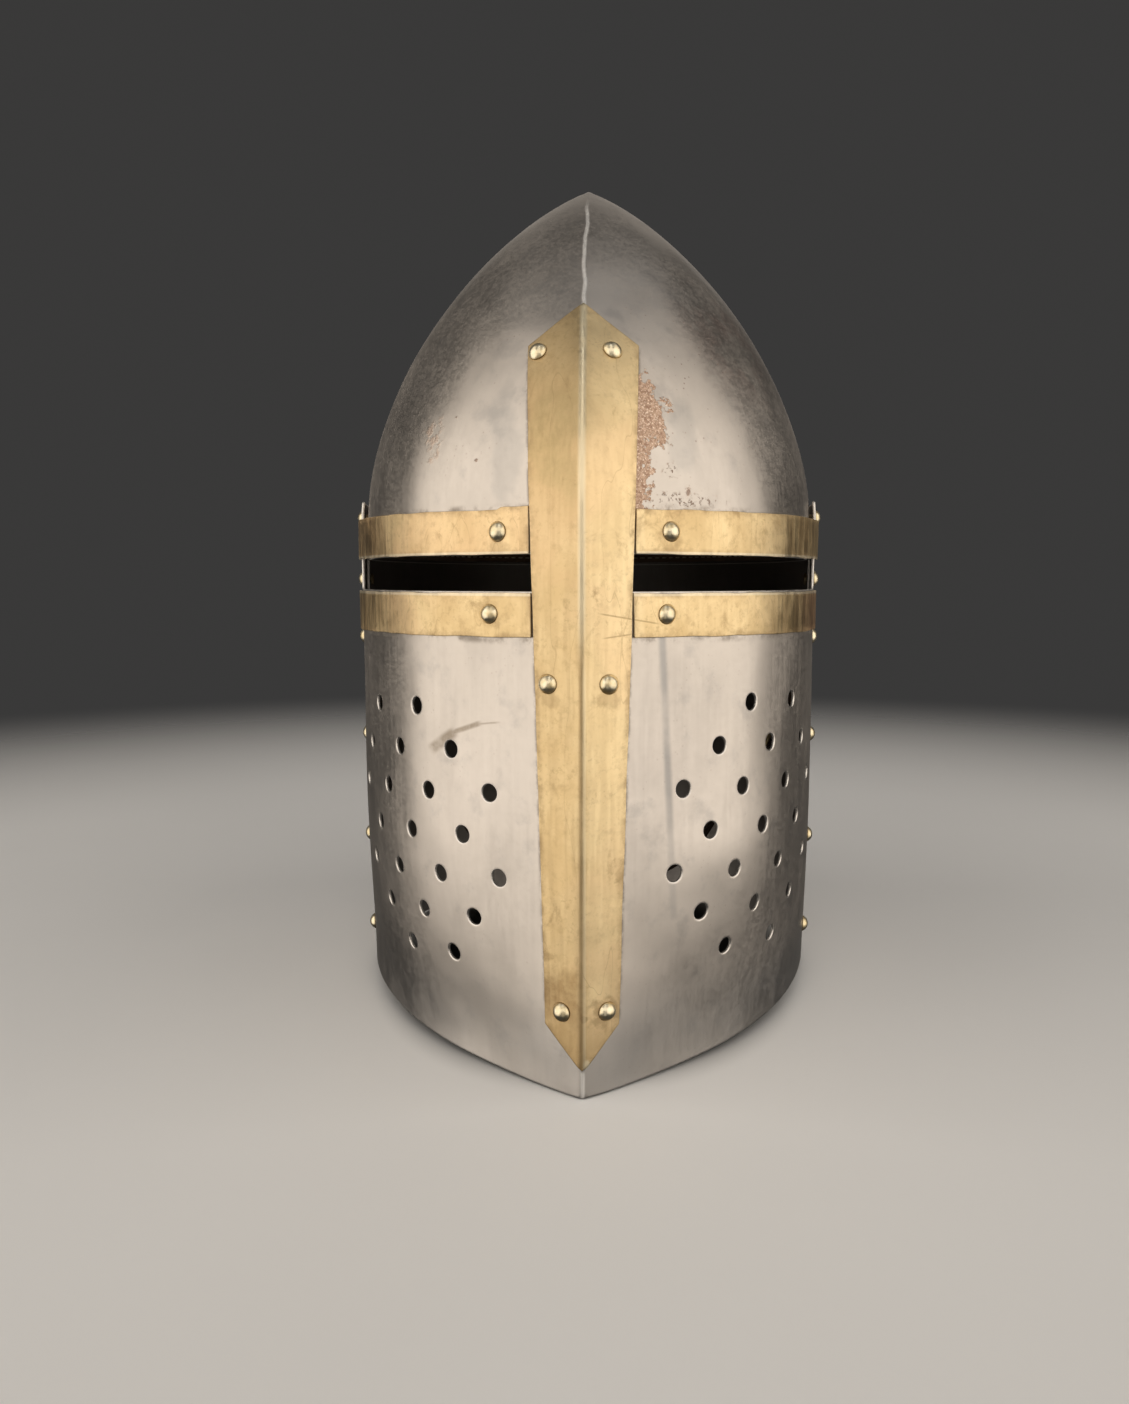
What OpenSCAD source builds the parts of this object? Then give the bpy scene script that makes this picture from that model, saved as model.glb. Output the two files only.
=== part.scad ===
// Sugarloaf great helm with a fixed face plate, brass cross, leather liner and chin strap.
// Millimetres, +Z up, front towards -Y. The origin is on the resting plane, below the point of the skull.

/* [Overall] */
// Height of the skull's point above the resting plane
helm_h = 350; // [320:1:380]
// Half width of the body at eye level
half_w = 101; // [96:1:108]
// Distance from the origin forward to the front ridge
ridge_y = 138; // [130:1:146]
// Distance from the origin back to the rear wall
rear_y = 138.5; // [130:0.5:146]
// Height to which the rim arches at the sides
rim_arch = 6; // [0:0.5:8]

/* [Sheet metal] */
// Thickness of the steel plates
steel_t = 1.2; // [1:0.1:1.4]
// Thickness of the brass strips
brass_t = 1.1; // [0.8:0.1:1.3]
// Clearance between lapped sheets
lap_gap = 0.2; // [0.15:0.05:0.3]

/* [Eye slits] */
// Height of the lower edge of the eye slits
slit_z = 175.6; // [170:0.1:180]
// Height of the opening of the eye slits
slit_h = 13; // [9:0.5:15]
// Height of the brass arms at the bar
arm_h = 15; // [12:0.5:18]

/* [Breath holes] */
// Diameter of one breath hole
breath_d = 6.3; // [4:0.1:8]
// Distance between the holes of one row
breath_pitch = 29.6; // [26:0.1:32]
// Distance between rows
breath_row = 15.25; // [13:0.05:17]

/* [Rivets] */
// Diameter of a rivet's domed head
rivet_d = 7; // [5:0.1:8]
// Height of a rivet's domed head
rivet_dome = 2.4; // [1.5:0.1:3]
// Diameter of a rivet's shank
shank_d = 3.2; // [2.5:0.1:4]

/* [Liner and strap] */
// Thickness of the liner leather
liner_t = 2; // [1.5:0.1:3]
// Width of the chin strap
strap_w = 18; // [15:1:20]
// Thickness of the chin strap leather
strap_t = 2.2; // [2:0.1:2.3]
// Distance from the middle to the outer face of the strap at its rivets
strap_x = 94.3; // [93.6:0.1:94.4]

/* [Hidden] */

steel = "#a9aaa8";
brass = "#c9a866";
leather = "#6b4a30";

// The face is a pointed oval: an ellipse-like outline with a short keel along the front ridge.
keel_depth = 9;
keel_half_w = 45;
body_top = 205;
pinch_top = 90;
mid_centre = 1.5;
rim_centre = 20;
rim_extra_w = 2;
mid_power = 2;
rim_power = 1.45;

slit_top = slit_z + slit_h;
arm_flare = 1.2;
ear_y = -36.5;
ear_top = 213;
plate_edge = 91;
back_edge = 79;
back_depth = steel_t + lap_gap + 0.1;
skull_inset = back_depth + steel_t + lap_gap + 0.1;

seam_angle = 81;
strap_z = 155.5;
seam_zs = [180.5, 207];
lower_seam_zs = [112, 66, 24];
back_rivet_angles = [for (i = [-3:3]) 180 + 24 * i];
band_low = 190;
band_high = 216;
back_plate_top = 205;
tongue_count = 8;

// ---- Body surface ----------------------------------------------------------------------

function clamp01(v) = min(1, max(0, v));
function smooth(v) = let (c = clamp01(v)) c * c * (3 - 2 * c);
function mix(a, b, k) = a + (b - a) * k;
function fill_in(z) = smooth(z / pinch_top);

// Size of a section at height z, as a share of the section at the brow
function up_skull(z) = clamp01((z - body_top) / (helm_h - body_top));
function taper(z) = let (k = up_skull(z)) 1 - 0.86 * pow(k, 1.8) - 0.14 * pow(k, 7);

function half_width(z) = mix(half_w + rim_extra_w, half_w, fill_in(z));
function centre(z) = mix(rim_centre, mid_centre, fill_in(z));
function power(z) = mix(rim_power, mid_power, fill_in(z));

// Point of the outline at angle a (0 at the front ridge, 180 at the back, left side negative)
function section(a, z) =
    let (x = half_width(z) * sin(a),
         c = centre(z),
         reach = sqrt(max(0, 1 - pow(abs(sin(a)), power(z)))),
         keel = keel_depth * pow(max(0, 1 - abs(x) / keel_half_w), 2))
    abs(a) <= 90 ? [x, c - (ridge_y + c - keel_depth) * reach - keel]
                 : [x, c - (rear_y - c) * cos(a)];

function body(a, z) = let (s = section(a, z) * taper(z)) [s[0], s[1], z];

function unit(v) = v / norm(v);
function flank_normal(a, z) =
    let (da = body(a + 0.4, z) - body(a - 0.4, z), dz = body(a, z + 0.4) - body(a, z - 0.4))
    unit(cross(da, dz));
// Along the ridge the two flanks meet, so the offset follows their mitre
function ridge_normal(z) = let (n = flank_normal(1, z), r = [0, n[1], n[2]]) r / (r * r);
function normal_at(a, z) = abs(a) < 0.5 ? ridge_normal(z) : flank_normal(a, z);
function off_body(a, z, d) = body(a, z) + d * normal_at(a, z);

// The skull stands in from the body at the sides and back, where the plates lap over it
function inset(a, z) = skull_inset * smooth((abs(a) - 15) / 61) * (1 - up_skull(z));

// Angle at which the outline passes a given distance from the middle plane
function angle_at_x(x, z) = asin(clamp01(abs(x) / (half_width(z) * taper(z)))) * sign(x);

// Distance along the outline from the ridge, and the angle that lies at a given distance
arc_step = 2;
function arc_point(n) = section(n * arc_step, 120);
function arc_to(n) = n == 0 ? 0 : arc_to(n - 1) + norm(arc_point(n) - arc_point(n - 1));
arc_table = [for (n = [0:45]) [arc_to(n), n * arc_step]];
function angle_at_arc(s) = lookup(s, arc_table);

function rim(a) =
    abs(a) <= 90 ? rim_arch * pow(sin(a), 2)
                 : rim_arch * (1 - smooth((abs(a) - 90) / 35));

// The side edges of the plates stay upright while the outline changes below them
function edge_shift(z) = -8 * (1 - fill_in(z));
function seam_at(z) = seam_angle + edge_shift(z);

// ---- Builders --------------------------------------------------------------------------

// Points of a sheet: the outer grid row by row from the bottom, each row left to right, then the inner
function sheet_points(outer, inner) =
    concat([for (r = outer) for (p = r) p], [for (r = inner) for (p = r) p]);
// Faces of both skins and of the bottom edge; last is the column where the rows stop or close
function sheet_faces(rows, cols, last) = let (count = rows * cols) concat(
    [for (i = [0:rows - 2]) for (j = [0:last]) let (k = (j + 1) % cols)
        each [[i * cols + j, (i + 1) * cols + j, (i + 1) * cols + k],
              [i * cols + j, (i + 1) * cols + k, i * cols + k],
              [count + i * cols + j, count + (i + 1) * cols + k, count + (i + 1) * cols + j],
              [count + i * cols + j, count + i * cols + k, count + (i + 1) * cols + k]]],
    [for (j = [0:last]) let (k = (j + 1) % cols)
        each [[j, k, count + k], [j, count + k, count + j]]]);

// Closed sheet from two grids of points
module shell(outer, inner, closed = false) {
    rows = len(outer);
    cols = len(outer[0]);
    count = rows * cols;
    last = closed ? cols - 1 : cols - 2;
    faces = concat(
        sheet_faces(rows, cols, last),
        [for (j = [0:last]) let (k = (j + 1) % cols, b = (rows - 1) * cols)
            each [[b + j, count + b + k, b + k], [b + j, count + b + j, count + b + k]]],
        closed ? [] :
        [for (i = [0:rows - 2])
            each [[i * cols, count + i * cols, count + (i + 1) * cols],
                  [i * cols, count + (i + 1) * cols, (i + 1) * cols]]],
        closed ? [] :
        [for (i = [0:rows - 2]) let (e = cols - 1)
            each [[i * cols + e, count + (i + 1) * cols + e, count + i * cols + e],
                  [i * cols + e, (i + 1) * cols + e, count + (i + 1) * cols + e]]]);
    polyhedron(sheet_points(outer, inner), faces, convexity = 8);
}

// Turns +Z to the direction n at the point p
module along(p, n) {
    translate(p) rotate([0, acos(n[2] / norm(n)), atan2(n[1], n[0])]) children();
}

// Drill through the sheets at an angle and height of the body
module drill(a, z, d, depth = 9, sides = 20) {
    along(body(a, z), flank_normal(a, z)) hull() {
        translate([0, 0, 4]) cylinder(d = d, h = 0.5, $fn = sides);
        translate([0, 0, -depth]) cylinder(d = d, h = 0.5, $fn = sides);
    }
}
// The same for a strip with only a few holes
module drill_strip(spots) {
    for (s = spots) let (a = angle_at_x(s[0], s[1])) along(body(a, s[1]), flank_normal(a, s[1]))
        translate([0, 0, -4]) cylinder(d = shank_d + 0.5, h = 9, $fn = 20);
}

// Domed rivet: its head seats at height seat above the body, its clinched tail sits at depth tail
module rivet(a, z, seat, tail) {
    ball_r = (pow(rivet_d / 2, 2) + pow(rivet_dome, 2)) / (2 * rivet_dome);
    along(body(a, z), flank_normal(a, z)) {
        rotate_extrude($fn = 40) intersection() {
            translate([0, seat + rivet_dome - ball_r]) circle(r = ball_r, $fn = 64);
            translate([0, seat]) square([rivet_d, rivet_dome * 2]);
        }
        translate([0, 0, -tail]) cylinder(d = shank_d, h = tail + seat + 0.2, $fn = 32);
        translate([0, 0, -tail - 1.2]) cylinder(d = shank_d + 2, h = 1.2, $fn = 32);
    }
}

// ---- Steel plates ----------------------------------------------------------------------

seam_rivet_zs = concat(seam_zs, [strap_z], lower_seam_zs);
bar_top_spots = [[-15.2, 257.3], [9.6, 257.3]];
bar_middle_spots = [[-11.2, 145.2], [8.6, 145.2]];
bar_bottom_spots = [[-6.6, 30.8], [8.1, 30.8]];
upper_arm_spots = [[-28.4, 196.3], [29.6, 196.3]];
lower_arm_spots = [[-31.8, 168.4], [28.3, 168.4]];

module drill_spots(spots) {
    for (s = spots) drill(angle_at_x(s[0], s[1]), s[1], shank_d + 0.5);
}
module drill_seams(zs) {
    for (side = [-1, 1]) for (z = zs) drill(side * seam_at(z), z, shank_d + 0.5);
}
module drill_back() {
    for (a = back_rivet_angles) drill(a, 198, shank_d + 0.5);
}

// One-piece skull, welded and drawn up to a point, with its crease down the front
module skull() {
    angles = [for (i = [0:71]) i * 5 - 180];
    top_z = helm_h - 0.4;
    zs = concat([slit_top, 198, body_top, 214], [for (k = [1:11]) mix(214, top_z, pow(k / 11, 0.85))]);
    outer = [for (z = zs) [for (a = angles) off_body(a, z, -inset(a, z))]];
    inner_top = helm_h - 4;
    inner_zs = [for (z = zs) z > 214 ? mix(214, inner_top, (z - 214) / (top_z - 214)) : z];
    inner = [for (z = inner_zs) [for (a = angles) off_body(a, z, -inset(a, z) - steel_t)]];
    cols = len(angles);
    rows = len(zs);
    count = rows * cols;
    points = concat(sheet_points(outer, inner), [[0, 0, helm_h], [0, 0, inner_top]]);
    faces = concat(
        sheet_faces(rows, cols, cols - 1),
        [for (j = [0:cols - 1]) let (k = (j + 1) % cols, b = (rows - 1) * cols)
            each [[b + j, 2 * count, b + k], [count + b + j, count + b + k, 2 * count + 1]]]);
    color(steel) difference() {
        polyhedron(points, faces, convexity = 6);
        drill_spots(bar_top_spots);
        drill_spots(upper_arm_spots);
        drill_seams([seam_zs[1]]);
        drill_back();
    }
}

// Breath holes of one cheek: rows that fall away a little towards the ear
module breath_holes(side) {
    starts = [1, 0.5, 0, 0.5, 0, 0.5, 1];
    counts = [2, 3, 4, 3, 4, 3, 2];
    for (r = [0:6]) for (c = [0:counts[r] - 1]) {
        step = starts[r] + c;
        arc = side < 0 ? 40.2 - 1.83 * r + (breath_pitch + 2.6 - 1.24 * r) * step + 0.3 * step * step
                       : 42.8 - 1.76 * r + (breath_pitch - 1.3 - 0.31 * r) * step + 1.04 * step * step;
        z = side < 0 ? 136 - (breath_row + 0.2) * r - (0.064 + 0.008 * r) * (arc - 40)
                     : 137.2 - breath_row * r - (0.052 + 0.009 * r) * (arc - 40);
        drill(side * angle_at_arc(arc), z, breath_d, 6, 24);
    }
}

// Face plate from ear to ear, creased down the middle. Its ears rise past the ends of the slits.
module face_plate() {
    shares = [for (i = [-24:24]) i / 24];
    steps = [0, 0.05, 0.12, 0.2, 0.3, 0.4, 0.5, 0.65, 0.82, 1];
    outer = [for (v = steps) [for (u = shares) let (z0 = rim(u * plate_edge), z = mix(z0, ear_top, v))
        off_body(u * (plate_edge + edge_shift(z)), z, 0)]];
    inner = [for (v = steps) [for (u = shares) let (z0 = rim(u * plate_edge), z = mix(z0, ear_top, v))
        off_body(u * (plate_edge + edge_shift(z)), z, -steel_t)]];
    color(steel) difference() {
        shell(outer, inner);
        translate([-150, ear_y - 200, slit_z + 0.6]) cube([300, 200, 100]);
        breath_holes(-1);
        breath_holes(1);
        drill_spots(bar_middle_spots);
        drill_spots(bar_bottom_spots);
        drill_spots(lower_arm_spots);
        drill_seams(seam_rivet_zs);
    }
}

// Back plate, lapped under the face plate at both sides and over the skull at the top
module back_plate() {
    shares = [for (i = [-22:22]) i / 22];
    steps = [0, 0.1, 0.22, 0.36, 0.5, 0.75, 1];
    half = 180 - back_edge;
    function turn(u, z) = 180 + u * (half - edge_shift(z));
    function side(a) = a > 180 ? a - 360 : a;
    outer = [for (v = steps) [for (u = shares) let (z = mix(rim(180 - abs(u) * half), back_plate_top, v))
        off_body(side(turn(u, z)), z, -back_depth)]];
    inner = [for (v = steps) [for (u = shares) let (z = mix(rim(180 - abs(u) * half), back_plate_top, v))
        off_body(side(turn(u, z)), z, -back_depth - steel_t)]];
    color(steel) difference() {
        shell(outer, inner);
        drill_seams(concat([seam_zs[0], strap_z], lower_seam_zs));
        drill_back();
    }
}

// ---- Brass cross -----------------------------------------------------------------------

bar_tip_low = 10.7;
bar_low = 25;
bar_high = 260;
bar_tip_high = 274.6;
bar_half_low = 12.4;
bar_half_high = 18.8;
function bar_half(z) =
    z < bar_low ? mix(0.5, bar_half_low, (z - bar_tip_low) / (bar_low - bar_tip_low)) :
    z > bar_high ? mix(bar_half_high, 0.5, (z - bar_high) / (bar_tip_high - bar_high)) :
    mix(bar_half_low, bar_half_high, (z - bar_low) / (bar_high - bar_low));

// Upright of the cross, folded along the ridge and pointed at both ends
module cross_bar() {
    zs = concat([bar_tip_low], [for (k = [0:8]) mix(bar_low, body_top, k / 8)],
                [for (k = [1:6]) mix(body_top, bar_high, k / 6)], [bar_tip_high]);
    shares = [-1, -0.67, -0.33, 0, 0.33, 0.67, 1];
    seat = lap_gap;
    outer = [for (z = zs) [for (u = shares) off_body(angle_at_x(u * bar_half(z), z), z, seat + brass_t)]];
    inner = [for (z = zs) [for (u = shares) off_body(angle_at_x(u * bar_half(z), z), z, seat)]];
    color(brass) difference() {
        shell(outer, inner);
        drill_strip(bar_top_spots);
        drill_strip(bar_middle_spots);
        drill_strip(bar_bottom_spots);
    }
}

// Arm of the cross: runs from the bar to the ear along one edge of the eye slit
module arm(side, low, dir, spot) {
    start = angle_at_x(max(bar_half(low), bar_half(low + dir * arm_h)) + 0.4, low);
    finish = seam_angle - 4;
    shares = [for (i = [0:16]) i / 16];
    edges = [0, 0.5, 1];
    function height(u) = arm_h + arm_flare * u;
    order = side * dir > 0 ? shares : [for (i = [len(shares) - 1:-1:0]) shares[i]];
    function spot_on(u, v, d) = off_body(side * mix(start, finish, u), low + dir * height(u) * v, d);
    outer = [for (v = edges) [for (u = order) spot_on(u, v, lap_gap + brass_t - 0.1)]];
    inner = [for (v = edges) [for (u = order) spot_on(u, v, lap_gap)]];
    color(brass) difference() {
        shell(outer, inner);
        drill_strip([spot]);
    }
}

module upper_arm_left() { arm(-1, slit_top, 1, upper_arm_spots[0]); }
module upper_arm_right() { arm(1, slit_top, 1, upper_arm_spots[1]); }
module lower_arm_left() { arm(-1, slit_z, -1, lower_arm_spots[0]); }
module lower_arm_right() { arm(1, slit_z, -1, lower_arm_spots[1]); }

// ---- Rivets ----------------------------------------------------------------------------

brass_seat = lap_gap + brass_t + 0.1;
module spot_rivets(spots, seat, tail) {
    color(brass) for (s = spots) rivet(angle_at_x(s[0], s[1]), s[1], seat, tail);
}
brass_tail = steel_t + 0.4;
module bar_rivets_top() { spot_rivets(bar_top_spots, brass_seat, brass_tail); }
module bar_rivets_middle() { spot_rivets(bar_middle_spots, brass_seat, brass_tail); }
module bar_rivets_bottom() { spot_rivets(bar_bottom_spots, brass_seat, brass_tail); }
module upper_arm_rivets() {
    spot_rivets(upper_arm_spots, brass_seat - 0.1, steel_t + liner_gap + liner_t + 0.3);
}
module lower_arm_rivets() { spot_rivets(lower_arm_spots, brass_seat - 0.1, brass_tail); }

module seam_rivets(side) {
    lap = back_depth + steel_t + 0.3;
    color(brass) {
        rivet(side * seam_angle, seam_zs[0], 0.1, lap);
        rivet(side * seam_angle, seam_zs[1], 0.1, skull_inset + steel_t + liner_t + 0.6);
        for (z = lower_seam_zs) rivet(side * seam_at(z), z, 0.1, lap);
    }
}
module seam_rivets_left() { seam_rivets(-1); }
module seam_rivets_right() { seam_rivets(1); }

module back_rivets() {
    color(steel) for (a = back_rivet_angles)
        rivet(a > 180 ? a - 360 : a, 198, -back_depth + 0.1, skull_inset + steel_t + liner_t + 0.6);
}

// ---- Liner -----------------------------------------------------------------------------

liner_gap = 0.3;
function liner_depth(a, z) = inset(a, z) + steel_t + liner_gap;

// Brow band riveted round the inside of the skull
module liner_band() {
    angles = [for (i = [0:59]) i * 6 - 180];
    zs = [band_low, 198, 207, band_high];
    outer = [for (z = zs) [for (a = angles) off_body(a, z, -liner_depth(a, z))]];
    inner = [for (z = zs) [for (a = angles) off_body(a, z, -liner_depth(a, z) - liner_t)]];
    color(leather) difference() {
        shell(outer, inner, true);
        drill_spots(upper_arm_spots);
        drill_seams([seam_zs[1]]);
        drill_back();
    }
}

crown_z = 296;
crown_r = 11;
tongue_base = 210.5;

// Dome that the tongues follow, from the band (k = 0) to the crown ring (k = 1)
function dome(a, k, d) =
    let (foot = off_body(a, tongue_base, -liner_depth(a, tongue_base) - liner_t - 0.4 - d),
         rise = sin(90 * k), keep = pow(cos(84 * k), 1.2))
    [mix(crown_r * sin(a), foot[0], keep), mix(-crown_r * cos(a), foot[1], keep),
     mix(tongue_base, crown_z - d, rise)];

// One tongue: a strip of leather that narrows to the crown, where the lace gathers it
module tongue(n) {
    mid = (n - 0.5) * 360 / tongue_count - 180;
    reach = 17;
    steps = [for (k = [0:8]) k / 8];
    shares = [-1, -0.5, 0, 0.5, 1];
    function spread(k) = reach * (1 - 0.15 * k);
    outer = [for (k = steps) [for (u = shares) dome(mid + u * spread(k), k, 0)]];
    inner = [for (k = steps) [for (u = shares) dome(mid + u * spread(k), k, 1.5)]];
    color(leather) difference() {
        shell(outer, inner);
        rotate([0, 0, mid]) translate([-3.6, -lace_r - 1.6, crown_z - 20]) cube([7.2, 3.2, 40]);
    }
}
module liner_tongue_1() { tongue(1); }
module liner_tongue_2() { tongue(2); }
module liner_tongue_3() { tongue(3); }
module liner_tongue_4() { tongue(4); }
module liner_tongue_5() { tongue(5); }
module liner_tongue_6() { tongue(6); }
module liner_tongue_7() { tongue(7); }
module liner_tongue_8() { tongue(8); }

lace_r = 22;
lace_d = 2;

// Lace that gathers the tongues: it passes down through one tongue and up through the next
function lace_point(t) =
    [lace_r * sin(t), -lace_r * cos(t), crown_z - 0.85 - 3.6 * cos(t * tongue_count / 2)];
module liner_lace() {
    color("#8c6b45") for (i = [0:47]) hull() {
        translate(lace_point(i * 7.5)) sphere(d = lace_d, $fn = 6);
        translate(lace_point((i + 1) * 7.5)) sphere(d = lace_d, $fn = 6);
    }
}

// ---- Chin strap ------------------------------------------------------------------------

// The strap swings on the two strap rivets. Heights and distances below are of its centre line.
pivot_x = strap_x - strap_t / 2;
pivot_y = body(seam_angle, strap_z)[1] + 0.85;
leg_top = 146;
leg_tilt = 26.7;
strap_bottom = 47;
bar_at = 30;
bar_lift = 2.7;
far_bar_at = 52;
rod_d = 2.6;
fold_r = 2.8;
frame_half = 11;
pad_hole = shank_d + 1.2;

// Point of the right leg: s down the leg from its top bend, h outward from its centre line
function leg_point(s, h) = [pivot_x - s * sin(leg_tilt) + h * cos(leg_tilt),
                            leg_top - s * cos(leg_tilt) - h * sin(leg_tilt)];
function cut_corners(p) = concat([p[0]],
    [for (i = [0:len(p) - 2]) each [0.75 * p[i] + 0.25 * p[i + 1], 0.25 * p[i] + 0.75 * p[i + 1]]],
    [p[len(p) - 1]]);
function side_of(p, i) =
    let (q = p[min(i + 1, len(p) - 1)] - p[max(i - 1, 0)]) [-q[1], q[0]] / norm(q);

// Strip of leather that follows a line in the upright plane through the rivets
module ribbon(line) {
    p = cut_corners(cut_corners(line));
    edge_a = [for (i = [0:len(p) - 1]) p[i] + side_of(p, i) * strap_t / 2];
    edge_b = [for (i = [len(p) - 1:-1:0]) p[i] - side_of(p, i) * strap_t / 2];
    translate([0, pivot_y, 0]) rotate([90, 0, 0])
        linear_extrude(height = strap_w, center = true) polygon(concat(edge_a, edge_b));
}

// Local frame of the right leg: x outward, z up along the leg, origin at its top bend
module on_leg() {
    translate([pivot_x, pivot_y, leg_top]) rotate([0, leg_tilt, 0]) children();
}
module cross_rod(d, length) {
    rotate([90, 0, 0]) cylinder(d = d, h = length, center = true, $fn = 32);
}

// Rounded end with the hole that turns on the strap rivet
module strap_pad(side) {
    translate([side * pivot_x, pivot_y, strap_z]) rotate([0, 90, 0])
        cylinder(d = strap_w, h = strap_t, center = true, $fn = 64);
}
module pad_bore(side) {
    translate([side * pivot_x, pivot_y, strap_z]) rotate([0, 90, 0])
        cylinder(d = pad_hole, h = 3 * strap_t, center = true, $fn = 40);
}

module strap_rivet(side) {
    color(brass) rivet(side * seam_angle, strap_z, 0.1, 8.9);
}
module strap_rivet_left() { strap_rivet(-1); }
module strap_rivet_right() { strap_rivet(1); }

// Stand-off washer between the back plate and the strap
module strap_washer(side) {
    color(steel) along(body(side * seam_angle, strap_z), flank_normal(side * seam_angle, strap_z))
        translate([0, 0, -4.4]) difference() {
            cylinder(d = 9, h = 1.6, $fn = 40);
            translate([0, 0, -1]) cylinder(d = shank_d + 0.3, h = 4, $fn = 32);
        }
}
module strap_washer_left() { strap_washer(-1); }
module strap_washer_right() { strap_washer(1); }

// Long half: from the left rivet, under the chin and through the buckle, with its tip up the right leg
module strap_long() {
    line = concat([[-pivot_x, strap_z], [-pivot_x, leg_top]],
                  [for (p = [[58, 76], [44, 55], [24, strap_bottom]]) [-p[0], p[1]]],
                  [[24, strap_bottom], [44, 55], leg_point(78, 0)],
                  [for (q = [[62, 0], [54, 0], [49.5, 0.1], [34, 7.6], [31, 7.9], [27, 7.4], [22, 5],
                             [16, 4.9], [9, 4.9]]) leg_point(q[0], q[1])]);
    color(leather) difference() {
        union() {
            ribbon(line);
            strap_pad(-1);
        }
        pad_bore(-1);
        on_leg() translate([-3, -1.8, -47.5]) cube([16, 3.6, 15]);
    }
}

// Short half: from the right rivet to the buckle, folded round its bar and stitched back
module strap_short() {
    line = concat([[pivot_x, strap_z], [pivot_x, 150], leg_point(0, 0), leg_point(27, 0)],
                  [for (t = [0:33:165]) leg_point(bar_at + fold_r * sin(t), bar_lift - fold_r * cos(t))],
                  [leg_point(26.5, 4.6), leg_point(23, 2.5), leg_point(8, 2.4)]);
    color(leather) difference() {
        union() {
            ribbon(line);
            strap_pad(1);
        }
        pad_bore(1);
        on_leg() translate([-3, -2.6, -36]) cube([11, 5.2, 11.5]);
    }
}

module buckle_frame() {
    color(brass) on_leg() {
        for (s = [bar_at, far_bar_at]) translate([bar_lift, 0, -s]) cross_rod(rod_d, 2 * frame_half);
        for (y = [-frame_half, frame_half]) {
            translate([bar_lift, y, -far_bar_at]) cylinder(d = rod_d, h = far_bar_at - bar_at, $fn = 32);
            for (s = [bar_at, far_bar_at]) translate([bar_lift, y, -s]) sphere(d = rod_d, $fn = 32);
        }
    }
}

// Prong: turns on the buckle's near bar and rests on the far one
module buckle_prong() {
    rise = 7.1;
    color(brass) on_leg() translate([bar_lift, 0, -bar_at]) difference() {
        union() {
            cross_rod(5.2, 4.2);
            rotate([0, 180 - rise, 0]) cylinder(d = 2, h = 24.5, $fn = 32);
            rotate([0, 180 - rise, 0]) translate([0, 0, 24.5]) sphere(d = 2, $fn = 32);
        }
        cross_rod(rod_d + 0.3, 6);
    }
}

// Leather loop that holds the tip of the long half down
module strap_keeper() {
    slack = 0.3;
    wall = 1.4;
    color(leather) on_leg() translate([-strap_t / 2 - slack, 0, -19.5]) difference() {
        translate([-wall, -strap_w / 2 - slack - wall, 0])
            cube([7.7 + 2 * wall, strap_w + 2 * (slack + wall), 7]);
        translate([0, -strap_w / 2 - slack, -1]) cube([7.7, strap_w + 2 * slack, 9]);
    }
}

skull();
face_plate();
back_plate();
cross_bar();
upper_arm_left();
upper_arm_right();
lower_arm_left();
lower_arm_right();
bar_rivets_top();
bar_rivets_middle();
bar_rivets_bottom();
upper_arm_rivets();
lower_arm_rivets();
seam_rivets_left();
seam_rivets_right();
back_rivets();
liner_band();
liner_tongue_1();
liner_tongue_2();
liner_tongue_3();
liner_tongue_4();
liner_tongue_5();
liner_tongue_6();
liner_tongue_7();
liner_tongue_8();
liner_lace();
strap_rivet_left();
strap_rivet_right();
strap_washer_left();
strap_washer_right();
strap_long();
strap_short();
buckle_frame();
buckle_prong();
strap_keeper();
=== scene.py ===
import math

import bpy
import numpy as np
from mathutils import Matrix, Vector, geometry, kdtree, noise


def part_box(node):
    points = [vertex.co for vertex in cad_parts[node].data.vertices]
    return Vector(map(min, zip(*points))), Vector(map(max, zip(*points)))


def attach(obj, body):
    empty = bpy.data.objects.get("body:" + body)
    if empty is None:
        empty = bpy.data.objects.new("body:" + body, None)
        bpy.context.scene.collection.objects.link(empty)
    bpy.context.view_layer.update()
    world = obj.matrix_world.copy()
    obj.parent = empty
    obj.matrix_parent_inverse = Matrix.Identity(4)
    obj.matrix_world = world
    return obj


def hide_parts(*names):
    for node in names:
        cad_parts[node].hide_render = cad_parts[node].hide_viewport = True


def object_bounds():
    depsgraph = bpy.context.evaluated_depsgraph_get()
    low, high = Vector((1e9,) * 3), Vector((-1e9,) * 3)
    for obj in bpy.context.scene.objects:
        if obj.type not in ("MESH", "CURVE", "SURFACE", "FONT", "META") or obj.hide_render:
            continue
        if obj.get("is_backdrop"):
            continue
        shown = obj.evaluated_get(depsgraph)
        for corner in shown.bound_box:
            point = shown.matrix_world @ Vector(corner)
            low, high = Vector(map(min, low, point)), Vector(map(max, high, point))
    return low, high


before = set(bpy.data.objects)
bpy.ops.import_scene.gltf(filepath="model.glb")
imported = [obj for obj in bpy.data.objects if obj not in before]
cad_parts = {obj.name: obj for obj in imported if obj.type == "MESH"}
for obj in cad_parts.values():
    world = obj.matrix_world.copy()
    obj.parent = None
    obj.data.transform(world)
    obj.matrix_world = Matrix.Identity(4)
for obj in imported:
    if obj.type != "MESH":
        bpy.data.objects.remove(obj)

cad_low, cad_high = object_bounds()

# ---- Sizes, in millimetres, from the frame and from the part's own dimensions ------------

MM = 0.001


def node_box(node):
    low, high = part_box(node)
    return np.array(low) / MM, np.array(high) / MM


face_low, face_high = node_box("face_plate")
skull_low, skull_high = node_box("skull")
back_high = node_box("back_plate")[1]
bar_box_low, bar_box_high = node_box("cross_bar")

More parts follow.
